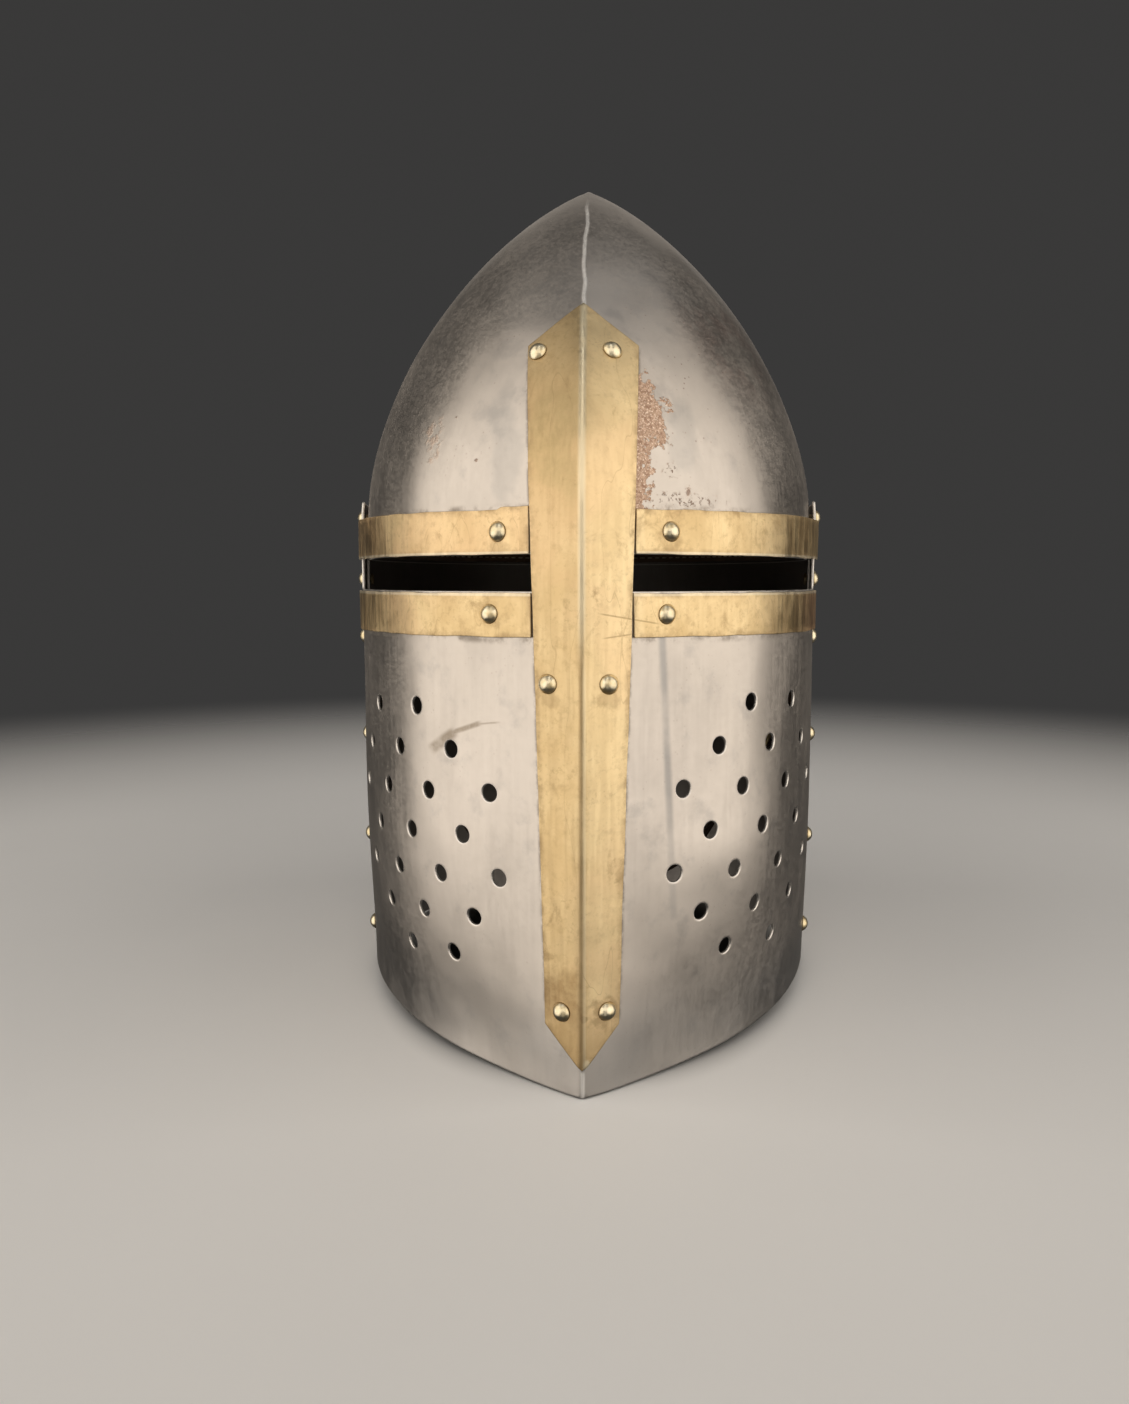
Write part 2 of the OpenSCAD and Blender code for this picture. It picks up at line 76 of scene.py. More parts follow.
STEEL_T = 1.2
BRASS_T = 1.1
LAP = 0.2
RIM_EXTRA = 2.0
BACK_DEPTH = STEEL_T + LAP + 0.1
SKULL_INSET = BACK_DEPTH + STEEL_T + LAP + 0.1
HELM_H = skull_high[2]
SKULL_EDGE = skull_low[2]
RIDGE_Y = -face_low[1]
REAR_Y = back_high[1] + BACK_DEPTH
HALF_W = face_high[0] - RIM_EXTRA
SLIT_TOP = SKULL_EDGE
SLIT_LOW = SLIT_TOP - 13.0
ARM_H = 15.0
ARM_FLARE = 1.2
RIM_ARCH = 6.0
KEEL = 9.0
KEEL_HALF = 45.0
BODY_TOP = 205.0
PINCH_TOP = 90.0
EAR_Y = -36.5
EAR_TOP = face_high[2]
PLATE_EDGE = 91.0
BACK_EDGE = 79.0
BACK_TOP = 205.0
SEAM_ANGLE = 81.0
STRAP_Z = 155.5
RIVET_D = 7.0
RIVET_DOME = 2.4
SHANK_D = 3.2
BREATH_D = 6.3
BAR_TIP_LOW, BAR_LOW, BAR_HIGH, BAR_TIP_HIGH = bar_box_low[2], 25.0, 260.0, bar_box_high[2]
BAR_HALF_LOW, BAR_HALF_HIGH = 12.4, 18.8


# ---- The body's surface ------------------------------------------------------------------

def smooth(v):
    c = np.clip(v, 0, 1)
    return c * c * (3 - 2 * c)


def mix(a, b, k):
    return a + (b - a) * k


def spread(*values):
    """The values as float arrays of one common shape."""
    return np.broadcast_arrays(*(np.asarray(v, float) for v in values))


def cols(*values):
    return np.stack(values, -1)


def run_along(points):
    """Distance from the first point to each, along the line through them."""
    return np.concatenate([[0], np.cumsum(np.linalg.norm(np.diff(points, axis=0), axis=1))])


def turns(count):
    return np.linspace(0, 2 * math.pi, count, endpoint=False)


def fill_in(z):
    return smooth(z / PINCH_TOP)


def up_skull(z):
    return np.clip((z - BODY_TOP) / (HELM_H - BODY_TOP), 0, 1)


def taper(z):
    k = up_skull(z)
    return 1 - 0.86 * k ** 1.8 - 0.14 * k ** 7


def half_width(z):
    return mix(HALF_W + RIM_EXTRA, HALF_W, fill_in(z))


def wrap(a):
    return (a + 180) % 360 - 180


RIDGE_SOFT = 0.45


def ridge_drift(z):
    """How far the fold wanders sideways on the bare skull above the bar."""
    return 0.55 * smooth((z - 258) / 14) * (np.sin(z / 7.3) + 0.5 * np.sin(z / 3.1 + 1))


def body(a, z, soft=RIDGE_SOFT):
    """Point at angle a, 0 at the front ridge, and height z. soft rounds the ridge off."""
    a, z = spread(a, z)
    a = wrap(a)
    k = fill_in(z)
    hw, c, power = half_width(z), mix(20.0, 1.5, k), mix(1.45, 2.0, k)
    sin, cos = np.sin(np.radians(a)), np.cos(np.radians(a))
    x = hw * sin
    reach = np.sqrt(np.maximum(0, 1 - np.abs(sin) ** power))
    off = x - ridge_drift(z)
    keel = KEEL * np.maximum(0, 1 - np.sqrt(off * off + soft * soft) / KEEL_HALF) ** 2
    front = c - (RIDGE_Y + c - KEEL) * reach - keel
    back = c - (REAR_Y - c) * cos
    y = np.where(np.abs(a) <= 90, front, back)
    t = taper(z)
    return cols(x * t, y * t, z)


def unit(v):
    return v / np.maximum(np.linalg.norm(v, axis=-1, keepdims=True), 1e-12)


def normal(a, z, soft=RIDGE_SOFT):
    da = body(a + 0.4, z, soft) - body(a - 0.4, z, soft)
    dz = body(a, z + 0.4, soft) - body(a, z - 0.4, soft)
    return unit(np.cross(da, dz))


def hammering(a, z):
    """Shallow hand-hammered waves in the sheet, in mm."""
    t = np.radians(a)
    return (0.09 * np.sin(z / 13.1 + 1.8 * np.sin(3 * t + 0.6)) + 0.08 * np.sin(8 * t + z / 29 + 1.3)
            + 0.05 * np.sin(15 * t - z / 17 + 0.4) + 0.04 * np.sin(23 * t + z / 9.5)) * (1 - up_skull(z) ** 4)


def off_body(a, z, d, soft=RIDGE_SOFT):
    a, z = spread(a, z)
    d = np.asarray(d, float) + hammering(a, z)
    return body(a, z, soft) + normal(a, z, soft) * d[..., None]


def inset(a, z):
    return SKULL_INSET * smooth((np.abs(wrap(a)) - 15) / 61) * (1 - up_skull(z))


def angle_at_x(x, z):
    return np.degrees(np.arcsin(np.clip(x / (half_width(z) * taper(z)), -1, 1)))


ARC_A = np.linspace(-360, 360, 1441)
_ring = body(ARC_A, np.full(ARC_A.shape, 120.0))
ARC_S = run_along(_ring)
ARC_S -= np.interp(0, ARC_A, ARC_S)


def arc_of(a):
    return np.interp(a, ARC_A, ARC_S)


def angle_of(s):
    return np.interp(s, ARC_S, ARC_A)


def rim(a):
    a = np.abs(wrap(a))
    return RIM_ARCH * np.where(a <= 90, np.sin(np.radians(a)) ** 2, 1 - smooth((a - 90) / 35))


def edge_shift(z):
    return -8 * (1 - fill_in(z))


def seam_at(z):
    return SEAM_ANGLE + edge_shift(z)


def bar_half(z):
    return np.interp(z, [BAR_TIP_LOW, BAR_LOW, BAR_HIGH, BAR_TIP_HIGH],
                     [0.0, BAR_HALF_LOW, BAR_HALF_HIGH, 0.0])


# ---- Mesh building -----------------------------------------------------------------------

def make_object(name, points, faces, edge=None, inside=None):
    mesh = bpy.data.meshes.new(name)
    mesh.from_pydata((np.asarray(points) * MM).tolist(), [], faces)
    mesh.polygons.foreach_set("use_smooth", [True] * len(mesh.polygons))
    for key, values in (("edge", edge), ("inside", inside)):
        if values is not None:
            mesh.attributes.new(key, "FLOAT", "POINT").data.foreach_set("value",
                                                                        np.asarray(values, np.float32))
    mesh.update()
    obj = bpy.data.objects.new(name, mesh)
    bpy.context.scene.collection.objects.link(obj)
    return obj


def resample(corners, spacing):
    """Closed polygon through the corners, with points no further apart than spacing."""
    out = []
    for p, q in zip(corners, np.roll(corners, -1, 0)):
        n = max(1, int(math.ceil(np.linalg.norm(q - p) / spacing)))
        out += [p + (q - p) * i / n for i in range(n)]
    return np.array(out)


def offset_loop(loop, dist):
    """The loop moved to its left by dist, mitred at its corners."""
    e1, e2 = unit(loop - np.roll(loop, 1, 0)), unit(np.roll(loop, -1, 0) - loop)
    n1, n2 = cols(-e1[:, 1], e1[:, 0]), cols(-e2[:, 1], e2[:, 0])
    m = (n1 + n2) / np.maximum(1 + (n1 * n2).sum(1, keepdims=True), 0.35)
    return loop + dist * m


def inside_loop(points, loop):
    x, y = points[:, 0], points[:, 1]
    hit = np.zeros(len(points), bool)
    for (x1, y1), (x2, y2) in zip(loop, np.roll(loop, -1, 0)):
        if y1 != y2:
            crosses = (y1 > y) != (y2 > y)
            hit ^= crosses & (x < (x2 - x1) * (y - y1) / (y2 - y1) + x1)
    return hit


def ring_on(surf, centre, radius, count, squash=1.0, turn=0.0):
    """Circle of a true radius on the surface, as a loop in its flat coordinates."""
    p, q = centre
    h = 0.3
    dp = (surf(p + h, q, 0.0) - surf(p - h, q, 0.0)) / (2 * h)
    dq = (surf(p, q + h, 0.0) - surf(p, q - h, 0.0)) / (2 * h)
    lp = np.linalg.norm(dp)
    across = dq @ dp / lp
    up = math.sqrt(max(dq @ dq - across ** 2, 1e-9))
    t = turns(count)
    u, v = radius * np.cos(t), radius * squash * np.sin(t)
    u, v = u * math.cos(turn) - v * math.sin(turn), u * math.sin(turn) + v * math.cos(turn)
    step_q = v / up
    return cols(p + (u - step_q * across) / lp, q + step_q)


STEPS = (0.0, 0.12, 0.45, 1.0, 2.4)


def drop(share):
    return 1 - math.sqrt(max(0.0, 1 - (1 - min(share, 1.0)) ** 2))


def plate(name, surf, outline, thick_out, thick_in, spacing=3.0, holes=(), edge_r=0.3, crease=None):
    """Sheet between two depths of a surface, with its edges rounded.

    surf(p, q, d) gives points in mm; outline and each hole's rings are loops in (p, q). The outline runs
    counter-clockwise. holes is a list of functions ring(grow), each of which gives the loop of the hole
    grown by that much. crease is p of a folded line that gets its own column of points."""
    points, falls, edge, loops, links = [], [], [], [], []

    def add(loop, fall, dist):
        first = len(points)
        points.extend(map(tuple, loop))
        falls.extend([fall] * len(loop))
        edge.extend([dist] * len(loop))
        links.extend((first + i, first + (i + 1) % len(loop)) for i in range(len(loop)))
        return range(first, first + len(loop))

    border = {}
    for share in STEPS:
        ids = add(offset_loop(outline, share * edge_r), edge_r * drop(share), share * edge_r)
        if share == 0:
            border.update({i: 0 for i in ids})
    inner_most = offset_loop(outline, STEPS[-1] * edge_r)
    hole_loops = []
    for number, ring in enumerate(holes):
        for share in STEPS:
            ids = add(ring(share * edge_r), edge_r * drop(share), share * edge_r)
            if share == 0:
                border.update({i: number + 1 for i in ids})
        hole_loops.append(ring(STEPS[-1] * edge_r))
    near = kdtree.KDTree(len(points))
    for i, p in enumerate(points):
        near.insert((p[0], p[1], 0), i)
    near.balance()

    low, high = outline.min(0), outline.max(0)
    rows = np.arange(low[1], high[1] + spacing, spacing * 0.866)
    grid = []
    for r, q in enumerate(rows):
        ps = np.arange(low[0] - (r % 2) * spacing / 2, high[0] + spacing, spacing)
        if crease is not None:
            ps = ps[np.abs(ps - crease) > spacing * 0.8 + 1.6]
            ps = np.concatenate([ps, crease + np.array([-1.3, -0.45, 0.0, 0.45, 1.3])])
        grid += [(p, q) for p in ps]
    grid = np.array(grid)
    grid = grid[inside_loop(grid, inner_most)]
    for loop in hole_loops:
        close = np.all((grid > loop.min(0)) & (grid < loop.max(0)), axis=1)
        keep = np.ones(len(grid), bool)
        keep[close] = ~inside_loop(grid[close], loop)
        grid = grid[keep]
    for p, q in grid:
        dist = near.find((p, q, 0))[2]
        if dist > (0.45 if crease is not None and abs(p - crease) < 2 else spacing * 0.5):
            points.append((p, q))
            falls.append(0.0)
            edge.append(dist)
    verts, _, tris, origin, _, _ = geometry.delaunay_2d_cdt([Vector(p) for p in points], links, [], 0, 1e-7)
    source = np.array([o[0] if o else -1 for o in origin])
    flat = np.array([tuple(v) for v in verts])
    tris = np.array([t for t in tris if len(t) == 3])
    owner = np.array([border.get(i, -1) for i in source])
    own = owner[tris]
    same = (own[:, 0] >= 0) & (own[:, 0] == own[:, 1]) & (own[:, 1] == own[:, 2])
    drop_it = same & (own[:, 0] > 0)
    check = np.where(same & (own[:, 0] == 0))[0]
    drop_it[check] = ~inside_loop(flat[tris[check]].mean(1), outline)
    tris = tris[~drop_it]
    area = np.cross(flat[tris[:, 1]] - flat[tris[:, 0]], flat[tris[:, 2]] - flat[tris[:, 0]])
    tris = tris[np.abs(area) > 1e-9]
    area = area[np.abs(area) > 1e-9]
    tris[area < 0] = tris[area < 0][:, ::-1]
    used = np.unique(tris)
    tris = np.searchsorted(used, tris)
    flat, source = flat[used], source[used]
    fall = np.array([falls[i] if i >= 0 else 0.0 for i in source])
    dist = np.array([edge[i] if i >= 0 else edge_r for i in source])
    n = len(flat)
    outer = surf(flat[:, 0], flat[:, 1], thick_out - fall)
    inner = surf(flat[:, 0], flat[:, 1], thick_in + fall)
    directed = {(a, b) for t in tris.tolist() for a, b in ((t[0], t[1]), (t[1], t[2]), (t[2], t[0]))}
    walls = [(b, a, a + n, b + n) for a, b in directed if (b, a) not in directed]
    walls.sort()
    faces = [tuple(t) for t in tris.tolist()] + [(a + n, c + n, b + n) for a, b, c in tris.tolist()] + walls
    share = np.minimum(dist / 10, 1)
    return make_object(name, np.concatenate([outer, inner]), faces, np.concatenate([share, share]),
                       np.concatenate([np.zeros(n), np.ones(n)]))


def on_plate(p, q, d):
    return off_body(angle_of(p), q, d)


def hole_on(surf, centre, radius, count=28, squash=1.0, turn=0.0):
    return lambda grow: ring_on(surf, centre, radius + grow, count, squash, turn)


def wobble(loop, size, seed, scale=0.09):
    """Small unevenness of an edge that was cut by hand."""
    shift = [(noise.noise((x * scale, y * scale, seed)), noise.noise((x * scale, y * scale, seed + 7.3)))
             for x, y in loop]
    return loop + size * np.array(shift)


def frame_at(a, z):
    """Place and axes on the body: along the outline, up and outwards."""
    n = normal(a, z)
    e1 = unit(body(a + 0.5, z) - body(a - 0.5, z))
    e1 = unit(e1 - n * (e1 @ n))
    return off_body(a, z, 0.0), e1, np.cross(n, e1), n


def lathe(profile, seg, place, seed=0.0, rough=0.0, squash=0.0):
    """Points and faces of a turned solid. profile is (radius, height), from the bottom pole to the top."""
    origin, e1, e2, n = place
    points, faces = [], []
    t = turns(seg)
    for r, h in profile:
        if r <= 1e-6:
            points.append(origin + n * h)
            continue
        for angle in t:
            grow = 1 + squash * math.cos(2 * angle + seed)
            lift = rough * noise.noise((r * math.cos(angle) * 0.7, r * math.sin(angle) * 0.7, seed + h * 0.3))
            points.append(origin + (e1 * math.cos(angle) + e2 * math.sin(angle)) * r * grow + n * (h + lift))
    start, rows = 0, []
    for r, h in profile:
        count = 1 if r <= 1e-6 else seg
        rows.append((start, count))
        start += count
    for (a, na), (b, nb) in zip(rows, rows[1:]):
        for i in range(seg):
            j = (i + 1) % seg
            if na == 1:
                faces.append((a, b + j, b + i))
            elif nb == 1:
                faces.append((a + i, a + j, b))
            else:
                faces.append((a + i, a + j, b + j, b + i))
    return np.array(points), faces


def join(parts):
    points, faces, base = [], [], 0
    for p, f in parts:
        points.append(p)
        faces += [tuple(i + base for i in face) for face in f]
        base += len(p)
    return np.concatenate(points), faces


def rivet_profile(seat, tail):
    r = RIVET_D / 2
    ball = (r * r + RIVET_DOME ** 2) / (2 * RIVET_DOME)
    top = math.asin(r / ball)
    head = [(ball * math.sin(t), seat + RIVET_DOME - ball + ball * math.cos(t))
            for t in np.linspace(top, 0, 11)]
    head[-1] = (0.0, seat + RIVET_DOME)
    s, c = SHANK_D / 2, SHANK_D / 2 + 1
    return ([(0.0, -tail - 1.2), (c * 0.7, -tail - 1.1), (c * 0.95, -tail - 0.75), (c, -tail - 0.3),
             (c * 0.97, -tail), (s + 0.05, -tail), (s, -tail + 0.1), (s, seat - 0.05), (s + 0.1, seat),
             (r - 0.25, seat), (r - 0.03, seat + 0.04)] + head)


def rivet(a, z, seat, tail, seed):
    return lathe(rivet_profile(seat, tail), RIVET_SIDES, frame_at(a, z), seed, 0.04, 0.018)


def keep(obj, body_name, slot, material, *nodes):
    obj.data.materials.clear()
    obj.data.materials.append(material)
    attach(obj, body_name)
    if nodes:
        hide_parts(*nodes)
    return obj

# ---- Materials ---------------------------------------------------------------------------

class Field:
    """Value that varies over a surface. Arithmetic on it adds the nodes that work it out."""

    def __init__(self, shade, socket):
        self.shade, self.socket = shade, socket

    def __add__(self, other):
        return self.shade.math("ADD", self, other)

    def __sub__(self, other):
        return self.shade.math("SUBTRACT", self, other)

    def __rsub__(self, other):
        return self.shade.math("SUBTRACT", other, self)

    def __mul__(self, other):
        return self.shade.math("MULTIPLY", self, other)

    def __abs__(self):
        return self.shade.math("ABSOLUTE", self)


class Shade:
    """Node tree of one material, with short calls for the nodes it uses."""

    def __init__(self, name):
        self.mat = bpy.data.materials.new(name)
        self.mat.use_nodes = True
        self.nodes, self.links = self.mat.node_tree.nodes, self.mat.node_tree.links
        self.nodes.clear()
        self.out = self.nodes.new("ShaderNodeOutputMaterial")
        self.bsdf = self.nodes.new("ShaderNodeBsdfPrincipled")
        self.links.new(self.bsdf.outputs[0], self.out.inputs[0])
        self.place = Field(self, self.nodes.new("ShaderNodeTexCoord").outputs["Object"])
        split = self.node("SeparateXYZ", self.place)
        self.x, self.y, self.z = (Field(self, socket) for socket in split.outputs)

    def put(self, socket, value):
        if isinstance(value, Field):
            self.links.new(value.socket, socket)
        else:
            socket.default_value = value

    def node(self, kind, *values, **named):
        """New node with its first inputs, and then its named ones, set or linked."""
        n = self.nodes.new("ShaderNode" + kind)
        for socket, value in zip(n.inputs, values):
            self.put(socket, value)
        for name, value in named.items():
            self.put(n.inputs[name], value)
        return n

    def math(self, kind, a, b=0.0, clamp=False):
        n = self.node("Math", a, b)
        n.operation, n.use_clamp = kind, clamp
        return Field(self, n.outputs[0])

    def most(self, a, b):
        return self.math("MAXIMUM", a, b)

    def span(self, value, low, high, out_low=0.0, out_high=1.0, kind="SMOOTHSTEP"):
        """The value from low to high, drawn out to run from out_low to out_high."""
        n = self.node("MapRange", value, low, high, out_low, out_high)
        n.interpolation_type = kind
        return Field(self, n.outputs[0])

    def scaled(self, scale, turn=(0, 0, 0)):
        return Field(self, self.node("Mapping", self.place, Rotation=turn, Scale=scale).outputs[0])

    def noise(self, scale, detail=3.0, rough=0.5, at=None, warp=0.0):
        n = self.node("TexNoise", Vector=at or self.place, Scale=scale, Detail=detail, Roughness=rough,
                      Distortion=warp)
        return Field(self, n.outputs[0])

    def cells(self, scale, feature="F1"):
        n = self.nodes.new("ShaderNodeTexVoronoi")
        n.feature = feature
        self.put(n.inputs["Vector"], self.place)
        n.inputs["Scale"].default_value = scale
        return Field(self, n.outputs[0])

    def attribute(self, name):
        n = self.nodes.new("ShaderNodeAttribute")
        n.attribute_name = name
        return Field(self, n.outputs["Fac"])

    def blend(self, share, a, b):
        n = self.nodes.new("ShaderNodeMix")
        n.data_type = "RGBA"
        self.put(n.inputs[0], share)
        for socket, value in ((n.inputs[6], a), (n.inputs[7], b)):
            self.put(socket, value if isinstance(value, Field) else (*value, 1.0))
        return Field(self, n.outputs[2])

    def tint(self, share, color):
        """Lays a colour over what the material has so far."""
        self.color = self.blend(share, self.color, color)

    def spot(self, centre, radii, ragged=0.35, scale=220.0):
        """Soft patch round a place in mm, 1 at its middle, with an uneven outline."""
        offs = [(axis - c * MM) * (1 / (r * MM)) for axis, c,
                r in zip((self.x, self.y, self.z), centre, radii)]
        x, y, z = (off * off for off in offs)
        far = self.math("SQRT", x + y + z)
        if ragged:
            far = far + self.span(self.noise(scale, 3.0, 0.6), 0.3, 0.7, -ragged, ragged, "LINEAR")
        return self.span(far, 0.45, 1.0, 1.0, 0.0)

    def line(self, start, end, width, blur=1.0):
        """Mark along a straight line between two (x, z) places in mm, seen from the front."""
        (x0, z0), (x1, z1) = start, end
        length = math.hypot(x1 - x0, z1 - z0)
        dx, dz = (x1 - x0) / length, (z1 - z0) / length
        px, pz = self.x - x0 * MM, self.z - z0 * MM
        along, across = px * dx + pz * dz, abs(px * -dz + pz * dx)
        near = self.span(across, width * MM, width * MM * (1 + blur), 1.0, 0.0)
        ends = self.span(along, 0.0, 3 * MM) * self.span(along, (length - 3) * MM, length * MM, 1.0, 0.0)
        return near * ends

    def bump(self, *layers):
        """Layers are (height, strength, distance in mm), from the coarsest to the finest."""
        last = None
        for height, strength, dist in layers:
            n = self.node("Bump", Strength=strength, Distance=dist * MM, Height=height)
            if last is not None:
                self.links.new(last, n.inputs["Normal"])
            last = n.outputs[0]
        self.links.new(last, self.bsdf.inputs["Normal"])

    def finish(self, metallic, roughness):
        for name, value in (("Base Color", self.color), ("Metallic", metallic), ("Roughness", roughness)):
            self.put(self.bsdf.inputs[name], value)
        return self.mat


def steel_material():
    s = Shade("steel_satin")
    inner = s.attribute("inside")
    edge = s.attribute("edge")
    front = s.span(s.y, -0.02, -0.05)
    cloud = s.noise(14, 4, 0.55)
    fine = s.noise(90, 5, 0.6)
    s.color = s.blend(s.span(cloud, 0.3, 0.7), (0.60, 0.543, 0.478), (0.70, 0.635, 0.565))
    s.tint(s.span(fine, 0.52, 0.76, 0.0, 0.5), (0.42, 0.39, 0.36))
    smudge = s.span(s.noise(1.0, 4, 0.6, s.scaled((42, 42, 16)), 0.5), 0.44, 0.7)
    s.tint(smudge * 0.2, (0.44, 0.40, 0.36))
    # darker patches either side of the bar; the left one is a painted dark reflection
    dull = s.most(s.spot((-27, -125, 224), (7, 40, 26), 0.35, 60),
                  s.spot((35, -120, 230), (8, 40, 17), 0.35, 60))
    s.tint(dull * front * 0.3, (0.36, 0.35, 0.33))
    # greyer towards the bottom, and a faint reddish bloom on the upper right of the skull
    low_grey = s.span(s.z, 0.045, 0.012) * s.span(cloud, 0.25, 0.75, 0.2, 0.6)
    s.tint(low_grey, (0.40, 0.395, 0.385))
    bloom = s.spot((52, -70, 268), (34, 45, 42), 0.3, 60) * s.span(s.noise(60, 5, 0.7), 0.42, 0.62)
    s.tint(bloom * 0.45, (0.42, 0.30, 0.26))
    # rust: one large granular patch beside the bar, and small dark dots and faint marks elsewhere
    grain = s.noise(1150, 4, 0.7)
    clumps = s.noise(330, 3, 0.6)
    rust_shape = s.most(s.spot((19, -128, 236), (12.5, 40, 18), 0.35, 210),
                        s.spot((17.5, -132, 214), (7, 40, 20), 0.4, 240))
    loose = (grain - 0.5) * 1.1 + (clumps - 0.5) * 1.0
    patch = s.span(rust_shape + loose, 0.34, 0.52) * s.span(rust_shape, 0.02, 0.12)
    bits = s.most(s.spot((35, -120, 207), (17, 40, 3.6), 0.3, 200),
                  s.spot((30, -120, 217), (4, 40, 4), 0.3, 200))
    small = bits * s.span(s.noise(700, 4, 0.7), 0.56, 0.62) * 0.9
    for at, radii in (((36, -120, 210), (1.1, 40, 1.9)), ((-45, -110, 237), (0.7, 40, 0.8)),
                      ((-37, -115, 221), (0.7, 40, 0.6))):
        small = s.most(small, s.spot(at, radii, 0.6, 700) * 0.8)
    patch = s.most(patch, small)
    left_marks = s.spot((-54, -105, 231), (5, 40, 8), 0.5, 200)
    faint = left_marks * s.span(clumps + grain * 0.3, 0.58, 0.74, 0.0, 0.55)
    patch = s.most(patch, faint)
    smear = s.most(s.line((-57, 117.5), (-45, 127), 0.8, 2.4), s.line((-50, 124.5), (-35, 130.5), 0.35, 2.8))
    smear = s.most(smear, s.line((-41, 129.0), (-28, 131), 0.12, 3.0) * 0.7)
    smear = smear * s.span(s.noise(120, 4, 0.7), 0.3, 0.6, 0.45, 0.9)
    pits = s.most(s.spot((-57, -100, 233), (14, 40, 15), 0.3, 120),
                  s.spot((45, -110, 250), (30, 60, 50), 0.3, 90))
    specks = s.span(s.cells(430), 0.20, 0.08) * s.span(s.noise(60, 3, 0.6), 0.46, 0.62)
    high = s.span(s.z, 0.20, 0.26)
    specks = specks * s.math("ADD", pits * 0.5, high * 0.35 + 0.22, True)
    rust_color = s.blend(s.span(s.noise(900, 4, 0.7), 0.35, 0.65), (0.42, 0.255, 0.17), (0.72, 0.52, 0.38))
    rust_color = s.blend(s.span(s.noise(1500, 2, 0.6), 0.56, 0.65), rust_color, (0.95, 0.80, 0.66))
    rust_color = s.blend(small, rust_color, (0.27, 0.18, 0.135))
    patch = patch * front
    # dirt and painted contact shadow in the line where the bar and the arms lie on the sheet
    slope = (BAR_HALF_HIGH - BAR_HALF_LOW) / (BAR_HIGH - BAR_LOW)
    half = s.z * slope + (BAR_HALF_LOW - BAR_LOW * slope) * MM
    beside = abs(s.x) - half
    in_bar = s.span(s.z, 0.0245, 0.028) * s.span(s.z, 0.261, 0.258)
    seam_dirt_and_shadow = s.span(beside, 0.0016, 0.0002) * in_bar * s.span(s.noise(160, 4, 0.7), 0.35, 0.6)
    above_arm = s.span(s.z, (SLIT_TOP + ARM_H + 2.6) * MM, (SLIT_TOP + ARM_H + 0.6) * MM)
    below_arm = s.span(s.z, (SLIT_LOW - ARM_H - 3.2) * MM, (SLIT_LOW - ARM_H - 1.0) * MM)
    arm_dirt_and_shadow = above_arm * below_arm * s.span(s.noise(130, 4, 0.7), 0.4, 0.66, 0.0, 0.8)
    dirt_and_shadow = s.most(seam_dirt_and_shadow, arm_dirt_and_shadow) * front
    s.tint(dirt_and_shadow * 0.75, (0.16, 0.12, 0.085))
    s.tint(specks, (0.36, 0.26, 0.215))
    s.tint(smear * front, (0.36, 0.30, 0.235))
    # painted highlight along the crease, above the bar and below it
    crease = abs(s.x + s.span(s.noise(1.0, 2, 0.5, s.scaled((0.01, 0.01, 45))), 0.3, 0.7, -0.0006, 0.0006))
    crease_highlight_ends = s.span(s.z, 0.268, 0.276) + s.span(s.z, 0.0105, 0.009)
    crease = s.span(crease, 0.0011, 0.0003) * crease_highlight_ends * front
    s.tint(crease * 0.9, (0.98, 0.95, 0.90))
    streak = s.line((32.5, 58), (27, 166), 0.3, 6.0) * s.span(s.noise(30, 3, 0.6), 0.35, 0.65, 0.3, 0.7)
    s.tint(streak * front, (0.33, 0.32, 0.31))
    s.tint(patch, rust_color)
    # inner faces darker, as painted shade inside the shell
    s.tint(inner * 0.75, s.blend(s.span(cloud, 0.35, 0.65), (0.12, 0.105, 0.095), (0.21, 0.195, 0.18)))
    wear = s.span(edge, 0.07, 0.0)
    s.tint(wear * 0.7, (0.92, 0.88, 0.82))
    # polish: fine scratches in two directions over broad smears
    up_lines = s.noise(1.0, 3, 0.6, s.scaled((900, 900, 26)))
    side_lines = s.noise(1.0, 3, 0.6, s.scaled((60, 60, 1100)))
    cross_lines = s.noise(1.0, 2, 0.5, s.scaled((500, 60, 700), (0.3, 0.5, 0.2)))
    scratch = up_lines * 0.5 + (side_lines * 0.1 + cross_lines * 0.4)
    rough = s.span(cloud, 0.25, 0.75, 0.31, 0.37)
    rough = rough + s.span(scratch, 0.4, 0.6, -0.02, 0.05)
    rough = rough + s.span(s.noise(7, 4, 0.6, warp=0.6), 0.45, 0.75, 0.0, 0.08)
    rough = rough + smudge * 0.05
    rough = rough + inner * 0.2
    rusty = s.most(patch, specks * 0.9)
    rough = s.most(rough, rusty * 0.66)
    rough = rough + (smear * 0.12 + crease * 0.18)
    metallic = s.math("SUBTRACT", 1.0, s.most(rusty * 0.45, dirt_and_shadow * 0.5), True)
    waves = s.noise(21, 2, 0.45)
    s.bump((waves, 0.75, 1.5), (patch * (grain + 0.35), 0.5, 0.25), (scratch, 0.06, 0.10))
    return s.finish(metallic, rough)


